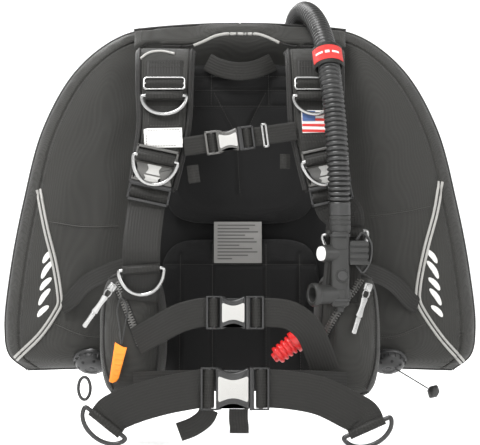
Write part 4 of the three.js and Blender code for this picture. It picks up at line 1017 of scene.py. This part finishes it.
buckles = {
    "chest": {"web": 25, "high": 32, "slot": 4.5, "bar": 3.5, "rim": 3, "body": 27, "thick": 9,
              "at": [(-16, -128, 110, -8, 1)], "shell": greyPlastic, "slotName": "grey_plastic",
              "dark": plastic},
    "shoulder": {"web": 50, "high": 57, "slot": 6, "bar": 5, "rim": 4, "body": 26, "thick": 12,
                 "at": [(116.37, -130.4, 65.46, 78, -1), (116.37, -130.4, 65.46, 78, 1)],
                 "shell": greyPlastic, "slotName": "grey_plastic", "dark": plastic},
    "waist": {"web": 38, "high": 43.5, "slot": 5.5, "bar": 4, "rim": 3, "body": 32, "thick": 13,
              "at": [(-9, -192, -118, 0, 1)], "shell": plastic, "slotName": "hard_plastic", "dark": plastic},
    "belt": {"web": 50, "high": 56, "slot": 6, "bar": 5, "rim": 3, "body": 42, "thick": 14,
             "at": [(-9, -205, -217, 0, 1)], "shell": plastic, "slotName": "hard_plastic", "dark": plastic},
}
frameThick, frameLead, plugShoulder, webPlay = 4.0, 1.5, 5.0, 0.6


# Half the height of a waisted outline at x: tall at both ends and drawn in at the middle.
def waisted(half, high, draw, x):
    return high * (1 - draw * np.clip(1 - (x / half) ** 2, 0, 1) ** 1.5)


def waistedOutline(x0, x1, high, draw, corner=2.0):
    half = (x1 - x0) / 2
    x = np.linspace(-half, half, 33)
    tall = waisted(half, high, draw, x)
    easing = np.sqrt(np.clip(1 - (np.maximum(np.abs(x) - (half - corner), 0) / corner) ** 2, 0, 1))
    tall = tall - corner * (1 - easing)
    mid = (x0 + x1) / 2
    return np.concatenate([np.stack([mid + x, tall], -1), np.stack([mid + x[::-1], -tall[::-1]], -1)])


# The ladder of two slots at a half's end: two rails, the bar and the rim, as rounded bars.
def ladderParts(spec, start, way, place):
    end = frameLead + 2 * spec["slot"] + spec["bar"] + spec["rim"]
    high, inner = spec["high"] / 2, spec["web"] / 2 + webPlay
    parts = []

    def bar(a, b, z0, z1):
        x0, x1 = sorted((start + way * a, start + way * b))
        parts.append(block(x0, x1, -frameThick / 2, frameThick / 2, z0, z1, 1.2, 0.9, place))

    bar(-1.5, end, inner, high)
    bar(-1.5, end, -high, -inner)
    bar(-1.5, frameLead, -high, high)
    bar(frameLead + spec["slot"], frameLead + spec["slot"] + spec["bar"], -high + 0.5, high - 0.5)
    bar(end - spec["rim"], end, -high, high)
    return parts


# Low grip domes in staggered rows, kept inside the plate's waisted outline.
def gripDomes(x0, x1, high, draw, y, place, pitch=2.3, radius=0.62):
    half = (x1 - x0) / 2
    columns = np.arange(-half + 2, half - 1.8, pitch)
    rows = np.arange(-high + 1.6, high - 1.4, pitch * 0.87)
    x, z = np.meshgrid(columns, rows, indexing="ij")
    x = x + (np.arange(len(rows)) % 2)[None] * pitch / 2
    keep = (np.abs(z) < waisted(half, high, draw, x) - 1.6) & (np.abs(x) < half - 1.6)
    centres = np.stack([(x0 + x1) / 2 + x[keep], np.full(keep.sum(), y), z[keep]], -1)
    turn = np.arange(6) * math.pi / 3
    ring = np.stack([np.cos(turn), 0 * turn, np.sin(turn)], -1) * radius
    shape = np.concatenate([ring + vec(0, 0.3, 0), ring * 0.7 + vec(0, -0.28, 0),
                            ring * 0.2 + vec(0, -0.4, 0)])
    faces = [gridFaces(3, 6, False, True), np.arange(6)[None, ::-1], 12 + np.arange(6)[None]]
    origin = place([(0, 0, 0)])[0]
    axes = [place([axis])[0] - origin for axis in np.eye(3)]
    return copies(shape, faces, place(centres), *axes)


for label, spec in buckles.items():
    for x, y, z, degrees, side in spec["at"]:
        place = frameOf(x, y, z, degrees, side)
        prefix = label if label != "shoulder" else ("right" if side < 0 else "left") + "_shoulder"
        name = label if label != "shoulder" else ("right" if side < 0 else "left") + "Shoulder"
        half, high, deep = spec["body"] / 2, spec["high"] / 2, spec["thick"] / 2
        draw = 0.16 if label == "shoulder" else 0.24
        shell = [slab(waistedOutline(-half, half, high, draw, 3.0), -deep, deep, 2.4, place),
                 block(-half - 1, -half + 6, -deep + 1.2, deep - 1.2, -high + 1, high - 1, 2, 1.2, place)]
        piece(f"{name}BuckleSocket", shell + ladderParts(spec, -half, -1, place), spec["shell"],
              spec["slotName"], f"{prefix}_buckle_socket")
        room = deep - 2.9
        prongs = [block(-half + 8, half + 1.5, -room, room, z0, z1, 1.6, 0.8, place)
                  for z0, z1 in ((high * (1 - draw) - 0.2, high - 3.1),
                                 (-high + 3.1, -high * (1 - draw) + 0.2))]
        collarOutline = waistedOutline(half + 0.4, half + plugShoulder, high, 0.0, 1.2)
        shoulder = slab(collarOutline, -room - 1, room + 1, 1.0, place)
        # a thin near-black slab across the socket's mouth: painted shade in place of the opening
        hole = block(half - 0.2, half + 0.35, -room, room, -high + 3, high - 3, 1, 0.1, place)
        piece(f"{name}BucklePlug", [shoulder, *prongs] + ladderParts(spec, half + plugShoulder, 1, place),
              spec["dark"], spec["slotName"], f"{prefix}_buckle_plug", body=f"{prefix}_plug")
        piece(f"{name}BuckleMouthShade", [hole], openingShade, spec["slotName"])
        spans = [(-half + 1.5, half - 1.2)]
        if label == "shoulder":
            spans = [(-half + 1.5, 1.5), (3.5, half - 1.0)]
        for n, (x0, x1) in enumerate(spans):
            tall = high * (0.6 if label != "shoulder" else (0.36, 0.44)[n])
            plate = slab(waistedOutline(x0, x1, tall, 0.3, 2.0), -deep - 0.7, -deep + 0.6, 0.5, place)
            piece(f"{name}BuckleGrip{n}", [plate, gripDomes(x0, x1, tall, 0.3, -deep - 0.7, place)], paleGrip,
                  spec["slotName"])

slide = frameOf(-16 + 50 * math.cos(math.radians(8)), -124.65, 110 + 50 * math.sin(math.radians(8)), -8)
slideBars = [(-4, -1.2, -16.5, 16.5), (1.2, 4, -16.5, 16.5), (-4, 4, 13.3, 16.5), (-4, 4, -16.5, -13.3)]
slideParts = [block(x0, x1, -2.7, 2.7, z0, z1, 1.2, 0.8, slide) for x0, x1, z0, z1 in slideBars]
piece("chestSlide", slideParts, steel, "steel", "chest_slide", body="chest_slide_part")
print("buckles ready")


# Inflator on the hose's end, the elbow it starts from and the band that holds the hose.

hoseIn = unit(hoseLine[-1] - hoseLine[-12])
hoseOut = unit(hoseLine[12] - hoseLine[0])
at = vec(*hose["inflator"])


def fromInflator(points):
    return np.asarray(points, float) + at


mouthWay = unit(vec(-0.9, -0.44, 0))
mouthLow, pressHigh = at + vec(0, 0, -105), at + vec(0, 0, -51)
handset = [
    turned([(0.3, 14), (0.8, 14.4), (5, 14.4), (5.4, 13.9), (7.2, 13.9), (7.6, 14.4), (11, 14.4),
            (11.4, 13.9), (13.2, 13.9), (13.6, 14.4), (20.5, 14.4), (24, 12.6)], at, hoseIn, 40),
    block(-12, 12, -13.6, 13.6, -121, -22, 4.5, 3.4, fromInflator),
    turned([(-10, 12.2), (14, 12.2), (16, 11.6), (22, 11.4), (25.2, 11.4), (26, 10.6), (26, 9.7)],
           pressHigh, mouthWay, 36),
    turned([(-10, 12.8), (18, 12.8), (30, 12.6), (33, 13.2), (34.2, 15.2), (36, 15.7), (40, 15.7), (42, 14.6),
            (42, 11.2), (41, 10.2), (22, 10.0), (21.8, 0.05)], mouthLow, mouthWay, 40),
    block(10, 36, -9.8, 9.8, -66, -34, 4, 1.6, fromInflator),
]
handset += [block(12.5, 37.5, -11.4, 10.7, -66 + 8.3 * n, -60 + 8.3 * n, 1.3, 1.0, fromInflator)
            for n in range(4)]
handset += [turned([(-2, 9.2), (1.0, 9.2), (1.6, 8.6), (1.6, 7.9)], at + vec(3, -13, -80), (0, -1, 0), 32),
            block(-9.5, 9.5, -14.3, -12, -45, -30, 3, 0.6, fromInflator),
            block(-7, 7, -14.3, -12, -116, -98, 3, 0.6, fromInflator),
            turned([(0, 5.5), (8, 5.5), (8.6, 4.9), (8.6, 2.6), (7, 2.4), (6.9, 0.05)],
                   at + vec(0, 0, -120), (0, 0, -1), 24)]
inflatorBody = piece("inflatorHandset", handset, moulded, "hard_plastic", "inflator_body", body="inflator")
capProfile = [(21.5, 9.2), (26, 9.4), (29.4, 9.4), (30.2, 8.9), (30.5, 7.6), (30.3, 0.05)]
whiteButton = piece("inflateButton", [turned(capProfile, pressHigh, mouthWay, 36)], whitePlastic,
                    "white_plastic", "inflate_button", body="inflate_button_part")
deflate = piece("deflateButton", [turned([(0.4, 6.6), (3.6, 6.9), (4.3, 6.5), (4.5, 5.6), (4.2, 0.05)],
                at + vec(3, -13, -80), (0, -1, 0), 32)], rubber, "hard_plastic", "deflate_button",
                body="deflate_button_part")
clips = []
for z in (-27, -112):  # cable ties round the body's neck and foot
    loop = roundRect(0, 0, 12.9, 14.5, 5, 8)
    upright = np.broadcast_to(vec(0, 0, 1), (len(loop), 3))
    clips.append(swept(fromInflator(np.c_[loop, np.full(len(loop), z)]), upright,
                       np.c_[unit(loop), np.zeros(len(loop))], bandSection(3.6, 1.3, 6), closed=True))
loopPath = stepped([fromInflator([p])[0] for p in ((22, 9, -33), (30, 10, -24), (41, 10, -36), (40, 10, -62),
                                                   (30, 10, -76), (22, 9, -67))], 1.5)
clips.append(tube(loopPath, 1.9, 10, level=(0, 1, 0)))
inflatorTrim = piece("inflatorTies", clips, rubber, "rubber", body="inflator")

elbowAt = vec(74, 56, 212)
elbow = [turned([(-12, 15.6), (-11.6, 16), (-4.7, 16), (-4.5, 21), (-4, 21.5), (1.6, 21.5), (2, 21),
                 (2, 16.4), (22, 16), (27, 14.6), (30, 10), (30.5, 0.05)], elbowAt, (0, 1, 0), 44),
         turned([(-34, 15.8), (-12, 16.8), (-10, 16.9), (-9.6, 17.3), (-1.2, 17.3), (-0.6, 16.6),
                 (-0.6, 15.2)],
                hoseLine[0], hoseOut, 40)]
piece("hoseElbow", elbow, plastic, "hard_plastic", "hose_elbow")

bandAt, bandWay = vec(*hose["bandAt"]), unit(vec(*hose["bandAxis"]))
bandSide = unit(np.cross(bandWay, vec(0, -1, 0)))
bandUp = np.cross(bandSide, bandWay)
bandUp = bandUp if bandUp[1] < 0 else -bandUp
ringProfile = [(-11, 17.3), (-11, 18.9), (-10.4, 19.3), (10.4, 19.3), (11, 18.9), (11, 17.3)]
ringPoints, _, ringUv = turned(ringProfile, bandAt, bandWay, 48)
turn = np.linspace(-1.35, 1.35, 25)
arc = bandAt + 20.4 * (np.sin(turn)[:, None] * bandSide + np.cos(turn)[:, None] * bandUp)
out = unit(arc - bandAt)
flap = swept(arc, np.broadcast_to(bandWay, arc.shape), out, bandSection(34, 1.8, 12))
piece("hoseBand", [(ringPoints, [gridFaces(len(ringProfile), 48, True, True)], ringUv), flap],
      webbing, "webbing", "hose_band")
turn = np.linspace(-1.12, 1.12, 21)
arc = bandAt + 21.6 * (np.sin(turn)[:, None] * bandSide + np.cos(turn)[:, None] * bandUp)
badge = swept(arc, np.broadcast_to(bandWay, arc.shape), unit(arc - bandAt), bandSection(23, 1.0, 10))
piece("hoseBadge", [badge], badgeRed, "webbing")
marks = []
for n, (low, high) in enumerate(((-0.75, -0.28), (-0.12, 0.16), (0.3, 0.8))):
    turn = np.linspace(low, high, 9)
    arc = bandAt + 22.2 * (np.sin(turn)[:, None] * bandSide + np.cos(turn)[:, None] * bandUp)
    marks.append(swept(arc, np.broadcast_to(bandWay, arc.shape), unit(arc - bandAt),
                       bandSection(3.2 + n % 2, 0.5, 6)))
piece("hoseBadgeStripes", marks, printWhite, "webbing")
print("inflator ready")


# Weight pockets on the lobes' lower inner parts: stuffed pouches with a zip and a pull.

pocket = {"centre": (144, -95, -151), "half": (44, 53.5, 87), "power": 0.5, "travel": 2.5}
zipWays = {-1: (41, 0, -58), 1: (-21, 0, -68)}
zipFrom = vec(170, -149.5, -86)
pocketTrees = {}
for side, label in ((-1, "right"), (1, "left")):
    flip = vec(side, 1, 1)
    half = vec(*pocket["half"]) - vec(1.5, 3.2, 2)
    pouch = pillowPart(vec(*pocket["centre"]) * flip, half, pocket["power"], 60, 64)
    obj = stuffed(f"{label}WeightPocket", pouch, nylon, pocket["travel"])
    fit(obj, "nylon_fabric", f"{label}_pocket")
    pocketTrees[side] = tree = treeOf(obj)
    teeth, tape, sewn, edges = [], [], [], []
    zipLine = [(162, -76), (151, -92), (139, -106), (122, -134), (108, -163)] if side > 0 else \
              [(166, -80), (158, -98), (150, -118), (141, -140), (131, -168)]
    flat = flatLine([(x * side, z) for x, z in zipLine], 1.0)
    path, normal = laidOn(tree, flat, 0.5)
    across = unit(np.cross(unit(np.gradient(path, axis=0)), normal))
    tape.append(swept(path[::3], across[::3], normal[::3], bandSection(13, 1.2, 8)))
    tooth = roundRect(0, 0, 3.0, 1.15, 0.8, 3)
    count = len(tooth)
    shape = np.concatenate([np.c_[tooth * s, np.full(count, h)] for s, h in ((1, 0), (1, 1.8), (0.7, 2.4))])
    faces = [gridFaces(3, count, False, True), np.arange(count)[None, ::-1],
             2 * count + np.arange(count)[None]]
    run = lengths(path)
    for n in (0, 1):
        spots = np.arange(3 + n * 1.8, run[-1] - 3, 3.6)
        toothAt, toothSide, toothOut = [readAt(spots, run, values) for values in (path, across, normal)]
        centres = toothAt + toothSide * (1.8 if n else -1.8) + toothOut * 0.6
        teeth.append(copies(shape, faces, centres, unit(toothSide), unit(np.cross(toothOut, toothSide)),
                            unit(toothOut)))
    for way in (-1, 1):
        sewn.append(stitches(path + across * way * 5.2 + normal * 0.3, normal, pitch=3.0, length=2.1,
                             radius=0.35))
    for line in ([(108, -82), (124, -72), (150, -68), (176, -76)],
                 [(112, -92), (109, -130), (111, -190), (118, -222)],
                 [(178, -90), (182, -130), (180, -190), (170, -222)],
                 [(116, -228), (144, -233), (172, -227)]):
        path, normal = laidOn(tree, flatLine([(x * side, z) for x, z in line], 2.0), 0.4)
        edges.append(tube(path, 1.7, 8, level=(0, 1, 0)))
        across = unit(np.cross(unit(np.gradient(path, axis=0)), normal))
        sewn.append(stitches(path + across * 4.5, normal))
    piece(f"{label}PocketZipTape", tape, binding, "nylon_fabric")
    # the teeth take the pale grey plastic so they show light grey against the black zip: a painted highlight
    piece(f"{label}PocketZipTeeth", teeth, greyPlastic, "hard_plastic")
    piece(f"{label}PocketStitching", sewn, thread, "nylon_fabric")
    piece(f"{label}PocketBinding", edges, binding, "nylon_fabric")

    # zip slider, its ring and the long pull that hangs from it
    start = zipFrom * flip
    way = unit(vec(*zipWays[side]) * flip)
    sideways = np.cross(way, vec(0, -1, 0))

    def onPull(points, start=start, way=way, sideways=sideways):
        p = np.asarray(points, float)
        return start + p[..., :1] * sideways + p[..., 1:2] * vec(0, 1, 0) + p[..., 2:] * way

    slider = [block(-5.4, 5.4, -3.4, 0.2, -6, 6, 2.6, 1.2, onPull),
              block(-2.2, 2.2, -6, -3, -4, 4, 1.6, 0.8, onPull)]
    bow = np.linspace(0, 2 * math.pi, 28)[:-1]
    bowPath = np.stack([4.2 * np.cos(bow), np.full(27, -4.4), 9.5 + 6.6 * np.sin(bow)], -1)
    slider.append(tube(onPull(bowPath), 1.0, 8, closed=True, level=(0, 1, 0)))
    tag = waistedOutline(-14, 14, 4.6, 0.25, 3.0)[:, ::-1]
    slider.append(slab(tag + vec(0, 28), -5.6, -3.4, 0.7, onPull))
    slider.append(slab(waistedOutline(-12, 12, 3.4, 0.1, 2.6)[:, ::-1] + vec(0, 53), -5.2, -3.4, 0.7, onPull))
    slider.append(tube(onPull([(0, -4.4, 38), (0, -4.4, 45)]), 1.2, 8, level=(0, 1, 0)))
    piece(f"{label}ZipPull", slider, steel, "steel", f"{label}_zip_slider", body=f"{label}_zip")
print("pockets ready")


# Red release grip on the left pocket

gripAt, gripWay = vec(69, -150, -162), unit(vec(0.79, 0, 0.61))
profile = []
for n, start in enumerate((-25, -18, -11, -4)):
    radius = 12.2 + 0.3 * n
    profile += [(start + 0.5, radius - 0.4), (start + 1.2, radius), (start + 3.6, radius),
                (start + 4.3, radius - 0.5), (start + 4.6, 10.2), (start + 6.2, 10.2)]
foot = [(-26, 8.6), (-25.6, 10.6)]
crown = [(2.6, 14.4), (3.4, 15), (14.6, 15), (16, 14.4), (20, 12.0), (24.4, 9.2), (25, 8.4)]
profile = foot + profile + crown
piece("ripcordGrip", [turned(profile, gripAt, gripWay, 44),
                      turned([(-31, 5.0), (-30.4, 6.4), (-27, 6.8), (-25, 6.8)], gripAt, gripWay, 28)],
      redPlastic, "red_plastic", "ripcord_handle", body="ripcord")
turn = np.linspace(0.05, math.pi - 0.05, 16)
beadProfile = np.stack([-6 * np.cos(turn), 6 * np.sin(turn)], -1)
piece("releaseBead", [turned(beadProfile, (98, -150, -133), (0, 0, 1), 24)], redPlastic, "red_plastic")

# Cam band and its buckle, back plate fittings

loopHalf = [(0, -5.7), (68, -5.7), (82, -3.4), (84.8, 2), (90, 16), (94, 45), (96, 92), (83, 140), (46, 177),
            (0, 188)]
loop = np.array([(x, y, 40.0) for x, y in loopHalf] + [(-x, y, 40.0) for x, y in loopHalf[-2:0:-1]])
shares = np.linspace(0, 1, 241)
ringPath = curveAt(np.vstack([loop, loop[:1]]), shares)[:-1]
tangent = unit(np.roll(ringPath, -1, 0) - np.roll(ringPath, 1, 0))
out = unit(np.cross(vec(0, 0, 1), tangent))
camLoop = swept(ringPath, np.broadcast_to(vec(0, 0, 1), ringPath.shape), out, bandSection(50, 2.0, 16),
                closed=True)
piece("camBand", [camLoop], webbing, "webbing", "cam_band")
hingeX, hingeY = -35.0, 195.0
lever = [turned([(-28, 4.4), (-27.6, 5), (27.6, 5), (28, 4.4)], (hingeX, hingeY, 40), (0, 0, 1), 24),
         slab(roundRect(hingeX + 36.5, 40, 33.5, 27.6, 6, 8), hingeY - 3, hingeY + 3, 1.6),
         slab(roundRect(hingeX + 46, 40, 16, 21, 4, 8), hingeY + 2, hingeY + 3.9, 0.9)]
lever += [block(hingeX + 12 + 7 * n, hingeX + 15 + 7 * n, hingeY + 2, hingeY + 4.1, 22, 58, 1.2, 0.8)
          for n in range(2)]
piece("camLever", lever, plastic, "hard_plastic", "cam_lever", body="lever")
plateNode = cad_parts["back_plate"]
plateNode.data.materials.clear()
plateNode.data.materials.append(plastic)
heads, grips = [], []
for x, z in ((-52, 166), (52, 166), (-52, -204), (52, -204), (-52, -60), (52, -60)):
    heads.append(turned([(-0.5, 6.4), (0.4, 6.6), (1.6, 6.0), (2.2, 4.6), (2.2, 2.6), (1.2, 2.4),
                         (1.1, 0.05)],
                        (x, 0, z), (0, 1, 0), 24))
for x in (-34, 34):
    for z in (-150, -20, 110):
        grips.append(slab(roundRect(x, z, 11, 38, 5, 8), -0.5, 4.0, 1.4))
        grips += [block(x - 9, x + 9, 3.2, 5.4, z - 32 + 9 * n, z - 28 + 9 * n, 1.5, 0.9) for n in range(8)]
piece("plateBolts", heads, steel, "steel")
piece("plateGripPads", grips, rubber, "rubber")
print("tank side ready")


# Patches and small trims

# A thin patch laid on a surface: outline points filled as rows between a left and a right line.
def patchPart(tree, left, right, lift=0.5, thick=0.7, rows=18, columns=12, way=1):
    share = np.linspace(0, 1, rows)
    a, b = [readAt(share, np.linspace(0, 1, len(line)), np.array(line, float)) for line in (left, right)]
    s = np.linspace(0, 1, columns)[None, :, None]
    flat = (a[:, None] * (1 - s) + b[:, None] * s).reshape(-1, 2)
    top, normal = laidOn(tree, flat, lift + thick, way)
    base = top - normal * (thick + 0.6)
    grid = gridFaces(rows, columns)
    shift = rows * columns
    rim = np.r_[np.arange(columns), np.arange(1, rows) * columns + columns - 1,
                (rows - 1) * columns + np.arange(columns - 2, -1, -1), np.arange(rows - 2, 0, -1) * columns]
    ahead = np.roll(rim, -1)
    walls = np.stack([rim, rim + shift, ahead + shift, ahead], -1)
    points = np.concatenate([top, base])
    return points, [grid, grid[:, ::-1] + shift, walls], points[:, [0, 2]] / 100


def patchLine(tree, corners, lift):
    closed = list(corners) + [corners[0]]
    path, normal = [], []
    for a, b in zip(closed[:-1], closed[1:]):
        flat = np.array(a) + (np.array(b) - np.array(a)) * np.linspace(0.04, 0.96, 20)[:, None]
        p, n = laidOn(tree, flat, lift)
        path.append(p)
        normal.append(n)
    return path, normal


webTrees = {side: treeOf(bpy.data.objects[f"{label}FrontWebbing"])
            for side, label in ((-1, "right"), (1, "left"))}
corners = [(-129, 126), (-78, 127), (-77, 101), (-128, 100)]
piece("whitePatch", [patchPart(webTrees[-1], [corners[0], corners[3]], [corners[1], corners[2]], 0.3)],
      printWhite, "webbing")
paths, normals = patchLine(webTrees[-1], [(-126, 123.5), (-81, 124.5), (-80, 103.5), (-125, 102.5)], 1.3)
piece("whitePatchStitching", [stitches(p, n) for p, n in zip(paths, normals)], thread, "webbing")
corners = [(82, 151), (124, 150), (127, 121), (84, 120)]
piece("stripedPatch", [patchPart(webTrees[1], [corners[0], corners[3]], [corners[1], corners[2]], 0.3)],
      printWhite, "webbing")
stripes = []
for n in range(4):
    z = 147.5 - n * 7.6
    left, right = [(83.5, z), (83.8, z - 3.4)], [(124.5, z - 0.6), (124.9, z - 4)]
    stripes.append(patchPart(webTrees[1], left, right, 1.0, 0.4, 4, 16))
piece("patchStripes", stripes, badgeRed, "webbing")
left, right = [(83.5, 150), (84, 136)], [(101, 149.5), (101, 136)]
piece("patchCorner", [patchPart(webTrees[1], left, right, 1.35, 0.5, 8, 8)], patchBlue, "webbing")
boxSewn = []
for side in (-1, 1):
    tree = webTrees[side]
    for z0, z1 in ((156, 130) if side < 0 else (116, 108),):
        x0, x1 = (81, 123)
        p, n = patchLine(tree, [(side * x0, z0), (side * x1, z0), (side * x1, z1), (side * x0, z1)], 0.25)
        boxSewn += [stitches(a, b) for a, b in zip(p, n)]
    for z in (217, 211):
        path, normal = laidOn(tree, [(side * x, z) for x in np.linspace(80, 124, 24)], 0.3)
        boxSewn.append(stitches(path, normal))
piece("frontWebbingStitching", boxSewn, thread, "webbing")

# Label hanging between the pads, with plain ruled lines for print
label = {"path": [(-3, -34, 1), (-3, -36, -12), (-3, -42, -26), (-3, -43.5, -56)], "width": 66}
piece("careLabel", [band(label["path"], (0, -1, 0), label["width"], 0.7)], labelGrey, "nylon_fabric")
labelTree = treeOf(bpy.data.objects["careLabel"])
inks = []
for n in range(11):
    z = -3 - n * 4.6
    long = (52, 44, 56, 38, 50, 54, 30, 48, 55, 42, 20)[n]
    left, right = [(-31, z), (-31, z - 1.6)], [(-31 + long, z), (-31 + long, z - 1.6)]
    inks.append(patchPart(labelTree, left, right, 0.1, 0.2, 3, 12))
piece("careLabelRules", inks, labelInk, "nylon_fabric")

# Orange tab hanging from a thin loop on the right pocket
tab = slab(np.array([(-166, -159), (-163, -161), (-155, -165.5), (-150, -166), (-161, -207), (-164.5, -211.5),
                     (-170, -213.5), (-174, -211)])[::-1], -155, -151.4, 1.2)
tabPiece = piece("orangeTab", [tab], orangePlastic, "red_plastic")
tabRows = [slab(np.array([(-165 - 0.19 * k, -172 - 7 * k / 2), (-153.6 - 1.0 * k, -174 - 7 * k / 2),
                          (-154.2 - 1.0 * k, -176 - 7 * k / 2), (-165.4 - 0.2 * k, -174 - 7 * k / 2)]),
                          -155.6, -154, 0.4)
           for k in range(0, 9, 2)]
piece("orangeTabRibs", tabRows, orangePlastic, "red_plastic")
loopLine = stepped([(-158, -153, -161), (-160, -152.5, -140), (-163, -151, -116), (-158, -149.5, -100),
                    (-150, -151, -112), (-153, -152.5, -138), (-157, -153, -161)], 1.6)
tabLoop = meshObject("tabLoop", [tube(loopLine, 1.1, 8, level=(0, 1, 0))], rubber)
fit(tabLoop, "rubber")
round(lengths(loopLine)[-1] * mm, 4)
[tuple(p * mm) for p in loopLine[::2]]

# Loose ends of the hip belt, sewn loops and small fittings
tails = [band(path, (0, -1, 0), 25, 2) for path in (
    [(-40, -196, -244), (-46, -193, -256), (-62, -190, -268), (-80, -189, -275)],
    [(-2, -198, -244), (-2, -195, -258), (-1, -193, -268), (-1, -192, -276)])]
tails.append(band([(-70, -119, 64), (-62, -121, 65), (-55, -119, 66)], (0, -1, 0), 24, 2.4))
tails.append(band([(54, -119, 82), (60, -121, 82), (67, -119, 82)], (0, -1, 0), 20, 2.4))
piece("looseEnds", tails, webbing, "webbing")
ring = np.linspace(0, 2 * math.pi, 40)[:-1]
ringLine = np.stack([-207 + 8 * np.cos(ring), np.full(39, -150.0), -220.5 + 15 * np.sin(ring)], -1)
piece("hipRing", [tube(ringLine, 2.2, 10, closed=True, level=(0, 1, 0))], plastic, "hard_plastic")
print("trims ready")

# The hose's placing is baked into its mesh once all that goes with it is made.
hoseWay = unit(vec(*hose["bandAxis"]))
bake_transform(inflatorHose)
[tuple(p * mm) for p in hoseLine[::6]]
round(lengths(pullPath)[-1] * mm, 4)
[tuple(p * mm) for p in pullPath[::2]]


# Studio: a pale floor that curves up all round into a glowing tent open at the top, and soft lights.

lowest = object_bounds()[0][2] / mm - studio["floorDrop"]
tent, bend = studio["tentRadius"], studio["bend"]
curveTurn = np.linspace(0, math.pi / 2, 24)
around = np.arange(96) * 2 * math.pi / 96
out = np.concatenate([np.linspace(60, tent - bend, 30), tent - bend + bend * np.sin(curveTurn[1:]), [tent]])
up = np.concatenate([np.zeros(30), bend - bend * np.cos(curveTurn[1:]), [studio["tentHigh"]]]) + lowest
points = np.stack([out[:, None] * np.cos(around), out[:, None] * np.sin(around),
                   np.repeat(up[:, None], 96, 1)], -1)
stagePaint = finish("stagePaper", (studio["floorWhite"],) * 3, 0.9, tint=0.01)
paper = stagePaint.node_tree.nodes["Principled BSDF"]
paper.inputs["Emission Color"].default_value = (1, 1, 1, 1)
paper.inputs["Emission Strength"].default_value = studio["glow"]
floorFaces = [gridFaces(len(out), 96, False, True), np.arange(96)[None]]
floorPart = (points.reshape(-1, 3), floorFaces, np.zeros((points.size // 3, 2)))
floor = meshObject("studioFloor", [floorPart], stagePaint, angle=60)

world = bpy.data.worlds.new("studio")
world.use_nodes = True
world.node_tree.nodes["Background"].inputs["Color"].default_value = (1, 1, 1, 1)
world.node_tree.nodes["Background"].inputs["Strength"].default_value = studio["world"]
bpy.context.scene.world = world


def softLight(name, power, size, at, aim=(0, 0, 0)):
    data = bpy.data.lights.new(name, "AREA")
    data.shape, data.size, data.energy = "DISK", size, power
    light = bpy.data.objects.new(name, data)
    light.location = at
    way = unit(vec(*aim) - vec(*at))
    light.rotation_euler = (math.acos(-way[2]), 0, math.atan2(way[1], way[0]) - math.pi / 2)
    bpy.context.scene.collection.objects.link(light)


softLight("keyLight", studio["key"], 1.3, (-0.8, -1.1, 2.2))
softLight("fillLight", studio["fill"], 1.2, (1.8, -1.7, 0.9))
softLight("lowLight", studio["low"], 1.0, (-0.4, -2.4, 0.1))
softLight("backLight", studio["back"], 1.4, (-0.9, 1.8, 1.6))

print("studio ready")
